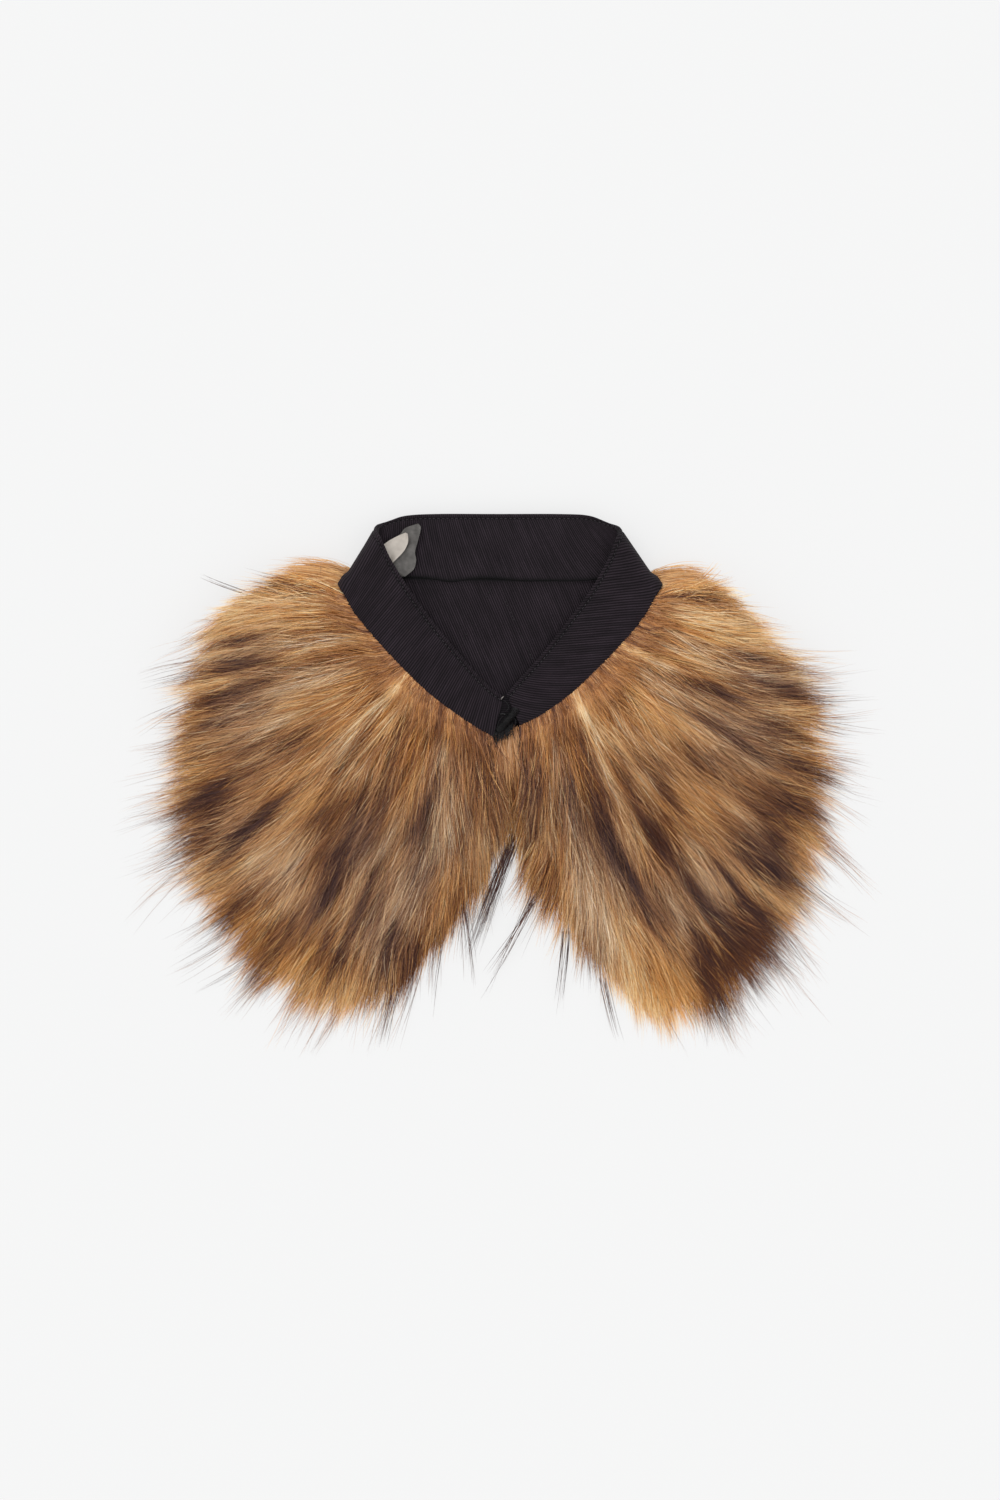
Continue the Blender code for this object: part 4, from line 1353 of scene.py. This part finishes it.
def ribbons(centres, roll, width):
    """Points and triangles of tapered ribbons along rows of centres, indexed [step, hair, axis]."""
    steps, hairs = centres.shape[:2]
    along = np.gradient(centres, axis=0)
    along /= np.linalg.norm(along, axis=2, keepdims=True) + 1e-9
    side = np.cross(along, (0.0, 0.0, 1.0))
    side /= np.linalg.norm(side, axis=2, keepdims=True) + 1e-9
    over = np.cross(along, side)
    side = side * np.cos(roll)[:, None] + over * np.sin(roll)[:, None]
    part = np.linspace(0.0, 1.0, steps)[:, None]
    half = (width / 2 * (1.0 - HAIR_TAPER * part**2))[..., None]
    left, right = centres[:-1] - (side * half)[:-1], centres[:-1] + (side * half)[:-1]
    body = np.stack([left, right], axis=2).transpose(1, 0, 2, 3).reshape(hairs, -1, 3)
    points = np.concatenate([body, centres[-1][:, None]], axis=1)
    pattern = []
    for step in range(steps - 2):
        first = 2 * step
        pattern += [(first, first + 1, first + 3), (first, first + 3, first + 2)]
    last = 2 * (steps - 2)
    pattern.append((last, last + 1, last + 2))
    faces = np.asarray(pattern)[None] + (np.arange(hairs) * points.shape[1])[:, None, None]
    return points.reshape(-1, 3), faces.reshape(-1, 3)


def hair_piece(name, centres, roll, width, tones, warmth, material):
    """A piece of joined ribbons, with the tone at each step and the hair's warmth in the OFBake map."""
    points, faces = ribbons(centres, roll, width)
    piece = new_mesh(name, points, faces, material)
    steps = len(tones)
    sides = np.append(np.tile((-1.0, 1.0), steps - 1), 0.0) * RIBBON_TONE / 2
    u = np.concatenate([np.repeat(tones[:-1].T, 2, axis=1), tones[-1][:, None]], axis=1)
    v = np.append(np.repeat(np.linspace(-0.5, 0.5, steps)[:-1], 2), 0.5) * RIBBON_WARMTH
    v = np.clip(warmth, 0.07, 0.93)[:, None] + v
    table = np.stack([np.clip(u, 0.01, 0.99) + sides, v], axis=2).reshape(-1, 2)
    layer = piece.data.uv_layers.new(name="OFBake")
    layer.data.foreach_set("uv", table[faces.ravel()].astype(np.float32).ravel())
    return piece


# Seeds of the smooth noises that every layer of hair shares.
SWAY_SEED, SWELL_SEED, STREAK_SEED, WARMTH_SEED = 71, 73, 81, 82
SWAY_SCALE = 30.0
SWAY = math.radians(10.0)
LOCK_TURN = math.radians(6.5)
PARTING_LEAN = 5.0
PARTING_CUT = 6.0
# How hairs of a lock differ along the fan, how far the pile's top swells and sinks, the shortest and the
# lowest hair, and how far ribbons roll.
ROOT_SPREAD = 5.0
SWELL = 0.25
SHORTEST_HAIR = 9.0
LOWEST_HAIR = 0.3
ROLL = 0.6


def choose_locks(panel, layer, laid, dice, nearer, farthest):
    """Where the locks of a layer are rooted; wisps grow mostly out of the dark patches."""
    share, distance = sow(panel, layer.locks * layer.choice, dice, nearer, farthest)
    if layer.choice > 1:
        x, y = panel.place(panel.lines(share), distance + 0.6 * layer.length)
        order = patch_shift(laid, x, y) + 0.35 * dice.random(len(share))
        best = np.sort(np.argsort(order)[: layer.locks])
        share, distance = share[best], distance[best]
    return share, distance


Hairs = namedtuple(
    "Hairs",
    "share offset root length depth reach turn wave phase lock_wave lock_phase lean",
)
Tint = namedtuple("Tint", "share guard own answer shift warmth")


def comb_hairs(panel, layer, share, distance, lock, dice):
    """How each hair lies, from where the locks are rooted and the lock that it belongs to."""
    gauss = partial(normal, dice)
    count = len(lock)
    lock_length = layer.length * (1.0 + layer.spread * gauss(layer.locks))
    lock_depth = dice.uniform(layer.low, layer.high, layer.locks)
    lock_past = layer.past + layer.past_spread * gauss(layer.locks) - PARTING_CUT * np.exp(-share / 0.12)
    calm = 1.0 - 0.8 * smooth((share - 0.78) / 0.14)
    lock_past += layer.stray * dice.random(layer.locks) ** 2.6 * calm
    root_x, root_y = panel.place(panel.lines(share), distance)
    sway_noise = Noise(SWAY_SEED)(root_x / SWAY_SCALE + 90.0, root_y / SWAY_SCALE + 90.0)
    lock_turn = gauss(layer.locks) * LOCK_TURN + SWAY * 2.0 * (sway_noise - 0.5)
    lock_wave, lock_phase = gauss(layer.locks) * 1.5, dice.random(layer.locks) * 6.0
    aside = gauss(count)
    root = np.maximum(distance[lock] + gauss(count) * ROOT_SPREAD, dice.uniform(-0.5, 1.6, count))
    scale = np.maximum(spacing(panel, share, distance + 20.0), 20.0)
    offset = aside * layer.half_width / scale[lock]
    length = lock_length[lock] * (1.0 + 0.06 * gauss(count) - 0.10 * np.abs(aside))
    depth = np.clip(lock_depth[lock] + 0.07 * gauss(count), 0.1, 1.15)
    reach = panel.lines(share[lock]).reach
    room = reach + lock_past[lock] - layer.taper * np.abs(aside) * dice.random(count) - root
    length = np.minimum(length, np.maximum(room, SHORTEST_HAIR))
    turn = lock_turn[lock] + gauss(count) * 0.045
    wave, phase = gauss(count) * 0.5, dice.random(count) * 6.0
    lean = PARTING_LEAN * np.exp(-share[lock] / 0.045) * dice.uniform(0.2, 1.3, count) * panel.parting
    waves = (turn, wave, phase, lock_wave[lock], lock_phase[lock], lean)
    return Hairs(share[lock], offset, root, length, depth, reach, *waves)


def tint_hairs(panel, layer, hairs, lock, dice):
    """Colour of each hair: its own tone and warmth, and how it answers to patches and streaks."""
    gauss = partial(normal, dice)
    count = len(lock)
    share = hairs.share + hairs.offset * (1.0 - 0.5 * layer.close)
    middle = hairs.root + 0.7 * hairs.length
    part = middle / hairs.reach
    guard = dice.random(count) < layer.guard * (0.25 + 1.1 * smooth(part / 0.9))
    own = BASE_TONE + HAIR_TONE_SPREAD * gauss(count) + LOCK_TONE_SPREAD * gauss(layer.locks)[lock]
    own -= GUARD_TONE * guard
    own += SHOULDER_TONE * smooth((share - SHOULDER_START) / SHOULDER_FADE)
    answer = dice.uniform(0.30, 1.50, count) * dice.uniform(0.40, 1.50, layer.locks)[lock]
    shift = 7.0 * gauss(count) + 5.0 * gauss(layer.locks)[lock]
    warm_noise = Noise(WARMTH_SEED)(share * (len(panel.table) - 1) * 2.4 + 11.0, middle / 48.0)
    warmth = 0.5 + WARMTH_WANDER * (warm_noise - 0.5) + 0.12 * gauss(count) - GUARD_WARMTH * guard
    # Painted light: warmer at the hem, where light shines through thin hair.
    warmth += PAINTED_HEM_WARMTH * smooth((part - 0.62) / 0.38) + WARM_PARTING * np.exp(-share / 0.07)
    near_seam = 1.0 - smooth((hairs.root + 0.6 * hairs.length) / 85.0)
    warmth += WARM_SHOULDER * smooth((share - 0.70) / 0.1) + WARM_SEAM * near_seam
    return Tint(share, guard, own, answer, shift, warmth)


def hair_sway(hairs, t, out):
    """How far hairs lie to the left of their fan lines at a share of their length."""
    swing = math.sin(math.pi * t)
    sway = hairs.length * hairs.turn * t**1.4 + hairs.wave * swing * np.sin(hairs.phase + 3.0 * t)
    sway += hairs.lock_wave * swing * np.sin(hairs.lock_phase + 3.0 * t)
    return sway + hairs.lean * t**1.4 * (1.0 - smooth((out - 62.0) / 22.0))


def grow(panel, name, layer, seed, laid, material, nearer=0.0, farthest=1.0):
    """One layer of a panel's pile."""
    dice = np.random.default_rng(seed)
    share, distance = choose_locks(panel, layer, laid, dice, nearer, farthest)
    lock = np.repeat(np.arange(layer.locks), layer.hairs)
    hairs = comb_hairs(panel, layer, share, distance, lock, dice)
    tint = tint_hairs(panel, layer, hairs, lock, dice)
    count, steps = len(lock), layer.spans + 1
    centres, tones, warmth = np.empty((steps, count, 3)), np.empty((steps, count)), tint.warmth
    swell_noise = Noise(SWELL_SEED)
    for step in range(steps):
        t = step / layer.spans
        lines = panel.lines(hairs.share + hairs.offset * (1.0 - layer.close * t**1.2))
        out = hairs.root + hairs.length * t
        x, y, heading = panel.beside(lines, out, hair_sway(hairs, t, out))
        base = panel.backing_height(lines, out, x, y)
        top = panel.pile_height(lines, out, x, y)
        swell = 1.0 + SWELL * (swell_noise(x / 14.0 + 30.0, y / 14.0 + 60.0) - 0.5)
        lift = hairs.depth * (1.0 - (1.0 - t) ** 1.8) * swell
        centres[step] = np.stack([x, y, np.maximum(base + (top - base) * lift, LOWEST_HAIR)], axis=1)
        patch = patch_shift(laid, x + np.cos(heading) * tint.shift, y + np.sin(heading) * tint.shift)
        patch = np.where(patch > 0.0, PALE_ANSWER * patch, DARK_ANSWER * patch) * tint.answer
        streak = streaks(panel, tint.share, out + tint.shift, STREAK_SEED)
        shade = ROOT_SHADE * (1.0 - smooth(t / 0.3)) + SEAM_SHADE * (1.0 - smooth(out / 24.0))
        # Painted light: paler at the hem, where light shines through thin hair.
        shade -= PAINTED_HEM_GLOW * smooth((out / hairs.reach - HEM_START) / 0.2) * (patch > -0.1)
        guard_shade = tint.guard * GUARD_END_TONE * smooth((t - 0.10) / 0.45)
        tones[step] = tint.own + STREAK_TONE * streak + patch - shade - guard_shade
        if step == steps - 2:
            warmth -= PATCH_WARMTH * np.abs(patch)
    keep = (np.abs(centres[-1, :, 0]) < X_LIMIT) & (centres[-1, :, 1] > LOW_LIMIT)
    width = layer.width * dice.uniform(0.7, 1.25, count) * np.where(tint.guard, 0.85, 1.0)
    roll = normal(dice, count) * ROLL
    kept = (centres[:, keep], roll[keep], width[keep], tones[:, keep], warmth[keep])
    return hair_piece(name, *kept, material)


FUZZ_HAIRS = 4200
FUZZ_HEIGHT = 3.0
FUZZ_TONE = 0.45


def seam_fuzz(panel, name, count, seed, laid, material):
    """Short hair that stands up along the seam and lies over the twill's edge."""
    dice = np.random.default_rng(seed)
    gauss = partial(normal, dice, count)
    share = sow(panel, count, dice, 0.0, 0.05)[0]
    root = dice.uniform(-0.7, 1.8, count)
    length, turn = 5.0 + 22.0 * dice.random(count) ** 2, gauss(0.20)
    high = FUZZ_HEIGHT + dice.uniform(-1.2, 0.8, count)
    lines = panel.lines(share)
    own = FUZZ_TONE + gauss(0.11) + 0.6 * STREAK_TONE * streaks(panel, share, root + 12.0, STREAK_SEED)
    centres, tones = [], []
    for t in (0.0, 0.33, 0.67, 1.0):
        out = root + length * t
        x, y = panel.beside(lines, out, length * turn * t**1.3)[:2]
        near = lines.seam[..., 2] + high + 0.8 * math.sin(math.pi * t)
        pile = panel.pile_height(lines, np.maximum(out, 0.0), x, y)
        away = smooth(out / 9.0)
        centres.append(np.stack([x, y, near * (1.0 - away) + 0.93 * pile * away], axis=1))
        # Painted shade: darker towards the root, deep in the pile.
        tones.append(own + PALE_ANSWER * patch_shift(laid, x, y) - 0.08 * (1.0 - smooth(t / 0.5)))
    warmth = 0.62 + gauss(0.15)
    width = dice.uniform(0.22, 0.36, count)
    return hair_piece(name, np.stack(centres), gauss(ROLL), width, np.stack(tones), warmth, material)


# Listed tufts: root line (from, to), bearings at its two ends, curl along a hair, length, rise to the
# middle of a hair, end height, hairs, tone, warmth and how far bearings differ.
Tuft = namedtuple(
    "Tuft",
    "x y z to_x to_y to_z bearing to_bearing curl length rise end count tone warmth fan",
)
TUFTS = (
    Tuft(-4.5, 24.6, 19, 0.6, 26.6, 18.2, 262, 290, -10, 44, 5, 20, 260, 0.44, 0.6, 5),
    Tuft(10, 30, 19, 3.6, 27.4, 18.2, 284, 268, 8, 44, 5, 20, 260, 0.53, 0.5, 6),
    Tuft(0, 29.2, 17.6, 5, 31.2, 17.6, 262, 276, 0, 40, 3, 20, 220, 0.42, 0.6, 6),
    Tuft(-92.5, 111, 21, -90, 119, 14, 182, 174, 32, 44, 4, 13, 430, 0.66, 0.62, 5),
    Tuft(-90.5, 117, 13, -87, 123.5, 8, 178, 172, 38, 38, 4, 8, 330, 0.68, 0.62, 5),
    Tuft(92, 110.5, 21, 90, 118, 14, 350, 358, -32, 40, 4, 13, 430, 0.68, 0.62, 5),
    Tuft(90.5, 116, 13, 87, 122.5, 8, 354, 362, -36, 36, 4, 8, 330, 0.7, 0.62, 5),
    Tuft(6, -34, 8, 10, -40, 7, 251, 247, 4, 64, 2, 3, 60, 0.02, 0.2, 2.2),
    Tuft(17, -70, 6, 21, -75, 5, 245, 238, -5, 52, 1.5, 2.5, 16, 0.08, 0.2, 3),
    Tuft(-24, -74, 6, -21, -70, 5, 276, 280, -6, 44, 1.5, 2.5, 12, 0.06, 0.2, 2.5),
    Tuft(38, -90, 6, 41, -92, 5, 267, 262, -6, 42, 1.5, 2.5, 14, 0.06, 0.2, 2),
    Tuft(60, -120, 5, 64, -122, 5, 284, 281, 5, 38, 1.5, 2.5, 10, 0.08, 0.2, 2),
    Tuft(-62, -130, 5, -66, -131, 5, 258, 254, -4, 30, 1.5, 2.5, 10, 0.08, 0.2, 2.5),
    Tuft(-148, 108, 9, -145, 111, 9, 162, 157, -5, 34, 2, 7, 6, 0.12, 0.25, 3),
)
TUFT_SEED = 900
TUFT_SPANS = 5
LOWEST_TUFT = 0.4


def build_tufts(material):
    """All listed tufts as one piece."""
    dice = np.random.default_rng(TUFT_SEED)
    centres, tones, widths, warmth = [], [], [], []
    for tuft in TUFTS:
        count = tuft.count
        where = dice.random(count)
        gauss = partial(normal, dice, count)
        start, end = np.array(tuft[:3]), np.array(tuft[3:6])
        root = start + (end - start) * where[:, None]
        root = root + np.stack([gauss(1.2), gauss(1.2), gauss(0.4)], axis=1)
        bearing = np.radians(tuft.bearing + (tuft.to_bearing - tuft.bearing) * where + gauss(tuft.fan))
        curl = np.radians(tuft.curl + gauss(1.4 * tuft.fan))
        length = tuft.length * (1.0 + gauss(0.14))
        rise = tuft.rise * dice.uniform(0.3, 1.3, count)
        own = tuft.tone + gauss(0.09)
        path, shade = [], []
        for step in range(TUFT_SPANS + 1):
            t = step / TUFT_SPANS
            x, y = arc(bearing - curl / 2, curl, length, t)
            z = root[:, 2] + (tuft.end - root[:, 2]) * smooth(t) + rise * math.sin(math.pi * t)
            path.append(np.stack([root[:, 0] + x, root[:, 1] + y, np.maximum(z, LOWEST_TUFT)], axis=1))
            shade.append(own - 0.10 * (t < 0.2))
        centres.append(np.stack(path))
        tones.append(np.stack(shade))
        widths.append(dice.uniform(0.22, 0.38, count))
        warmth.append(tuft.warmth + gauss(0.12))
    centres, tones = (np.concatenate(parts, axis=1) for parts in (centres, tones))
    widths, warmth = np.concatenate(widths), np.concatenate(warmth)
    roll = normal(dice, len(widths), ROLL)
    return hair_piece("fur_tufts", centres, roll, widths, tones, warmth, material)


def build_front(side, panel, patches, fur, twill, knit, seed):
    """The pile, the ground and the lining of a front."""
    laid = lay_patches(panel, patches)
    name = f"fur_{side}_front"
    ground = build_ground(name, panel, knit)
    pile = [grow(panel, f"{name}_underfur", UNDER, seed, laid, fur)]
    pile += [grow(panel, f"{name}_pile_{part}", TOP, seed + part, laid, fur) for part in (1, 2)]
    pile.append(grow(panel, f"{name}_wisps", WISPS, seed + 5, laid, fur, 0.72, 1.0))
    pile.append(seam_fuzz(panel, f"{name}_seam_fuzz", FUZZ_HAIRS, seed + 6, laid, fur))
    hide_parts(name)
    lining = f"lining_{side}_front"
    return ground, pile, build_lining(lining, panel, (), HIDDEN_COLUMNS, HIDDEN_STEPS, twill)


def build_back(panel, fur, twill, knit):
    ground = build_ground("fur_back", panel, knit)
    pile = [grow(panel, "fur_back_underfur", BACK_UNDER, 300, (), fur)]
    pile.append(grow(panel, "fur_back_pile", BACK_TOP, 301, (), fur))
    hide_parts("fur_back")
    lining = build_lining("lining_back", panel, NECK_CREASES, LINING_COLUMNS, LINING_STEPS, twill)
    return ground, pile, lining


# ------------------------------------------------------------
# Studio
# ------------------------------------------------------------

FRAME_HEIGHT = 0.9
FRAME_CENTRE = (0.0029, 0.0143)
PILE_MIDDLE = 0.02
LENS = 100.0
SENSOR = 36.0
FLOOR_SIZE = 8.0
FLOOR_GREY = (0.24, 0.242, 0.242)
FLOOR_GLOW = 0.634
WORLD_LIGHT = 0.80
# Suns: name, where they stand, strength and spread in degrees.
LIGHTS = (("key", (-0.9, 1.3, 2.2), 1.15, 50.0), ("fill", (1.2, -0.4, 2.2), 0.35, 70.0))


def add_camera():
    data = bpy.data.cameras.new("camera")
    data.lens = LENS
    data.sensor_width = SENSOR
    data.clip_start, data.clip_end = 0.1, 20.0
    camera = bpy.data.objects.new("camera", data)
    camera.location = (*FRAME_CENTRE, FRAME_HEIGHT * LENS / SENSOR + PILE_MIDDLE)
    bpy.context.scene.collection.objects.link(camera)
    bpy.context.scene.camera = camera


def add_sun(name, towards, strength, spread):
    data = bpy.data.lights.new(name, "SUN")
    data.energy = strength
    data.angle = math.radians(spread)
    light = bpy.data.objects.new(name, data)
    light.location = towards
    light.rotation_mode = "QUATERNION"
    light.rotation_quaternion = (-Vector(towards)).to_track_quat("-Z", "Y")
    bpy.context.scene.collection.objects.link(light)


def add_floor():
    nodes = Nodes("pale_floor")
    nodes.set(
        base_color=(*FLOOR_GREY, 1.0),
        roughness=0.9,
        specular_ior_level=0.05,
        emission_color=(1.0, 1.0, 1.0, 1.0),
        emission_strength=FLOOR_GLOW,
    )
    half = FLOOR_SIZE / 2
    data = bpy.data.meshes.new("floor")
    corners = [(-half, -half, 0), (half, -half, 0), (half, half, 0), (-half, half, 0)]
    data.from_pydata(corners, [], [(0, 1, 2, 3)])
    data.materials.append(nodes.material)
    floor = bpy.data.objects.new("floor", data)
    bpy.context.scene.collection.objects.link(floor)


def add_studio():
    world = bpy.data.worlds.new("studio")
    bpy.context.scene.world = world
    world.use_nodes = True
    background = world.node_tree.nodes["Background"]
    background.inputs[0].default_value = (1.0, 1.0, 1.0, 1.0)
    background.inputs[1].default_value = WORLD_LIGHT
    for light in LIGHTS:
        add_sun(*light)
    bpy.context.scene.view_settings.view_transform = "Standard"
    add_floor()
    add_camera()


# Flat cuts of the cloth that shows, in metres: width, length, and area where the cut isn't a rectangle.
LEFT_CUT, LEFT_AREA = (0.185, 0.240), 0.0284
RIGHT_CUT, RIGHT_AREA = (0.178, 0.235), 0.0272


def main():
    twill, pale = twill_material(), pale_thread_material()
    thread = thread_material("black_thread", *BLACK_THREAD)
    stitch_thread = thread_material("stitch_thread", *FADED_THREAD)
    satin, metal, knit, fur = satin_material(), metal_material(), knit_material(), fur_material()
    stand = Stand()
    half_way = stand.along[-1] / 2
    outer_ribs = np.where(stand.along < half_way, OUTER_RIBS_LEFT, OUTER_RIBS_RIGHT)
    outer = build_ply(stand, 1, FUR_MARGIN, OUTER_CREASES, outer_ribs, twill)
    inner = build_ply(stand, -1, TWILL, INNER_CREASES, INNER_RIBS, twill)
    outer_stitches = topstitch(stand, 1, FUR_MARGIN, OUTER_CREASES, stitch_thread)
    inner_stitches = topstitch(stand, -1, TWILL, INNER_CREASES, stitch_thread)
    label, label_corner = build_label(satin)
    facing = build_facing(twill)
    for name in ("hook", "eye"):
        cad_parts[name].data.materials[0] = metal
    build_closing(thread, pale)
    left, right = Front(LEFT_FRONT, LEFT_LEG, 1.0), Front(RIGHT_FRONT, RIGHT_LEG, -1.0)
    fronts = (
        (build_front("left", left, LEFT_PATCHES, fur, twill, knit, 100), LEFT_CUT, LEFT_AREA),
        (build_front("right", right, RIGHT_PATCHES, fur, twill, knit, 200), RIGHT_CUT, RIGHT_AREA),
    )
    back_ground, back_pile, back_lining = build_back(Back(BACK, BACK_BAND), fur, twill, knit)
    build_tufts(fur)
    neck = neck_stitches(thread)

    add_studio()


main()
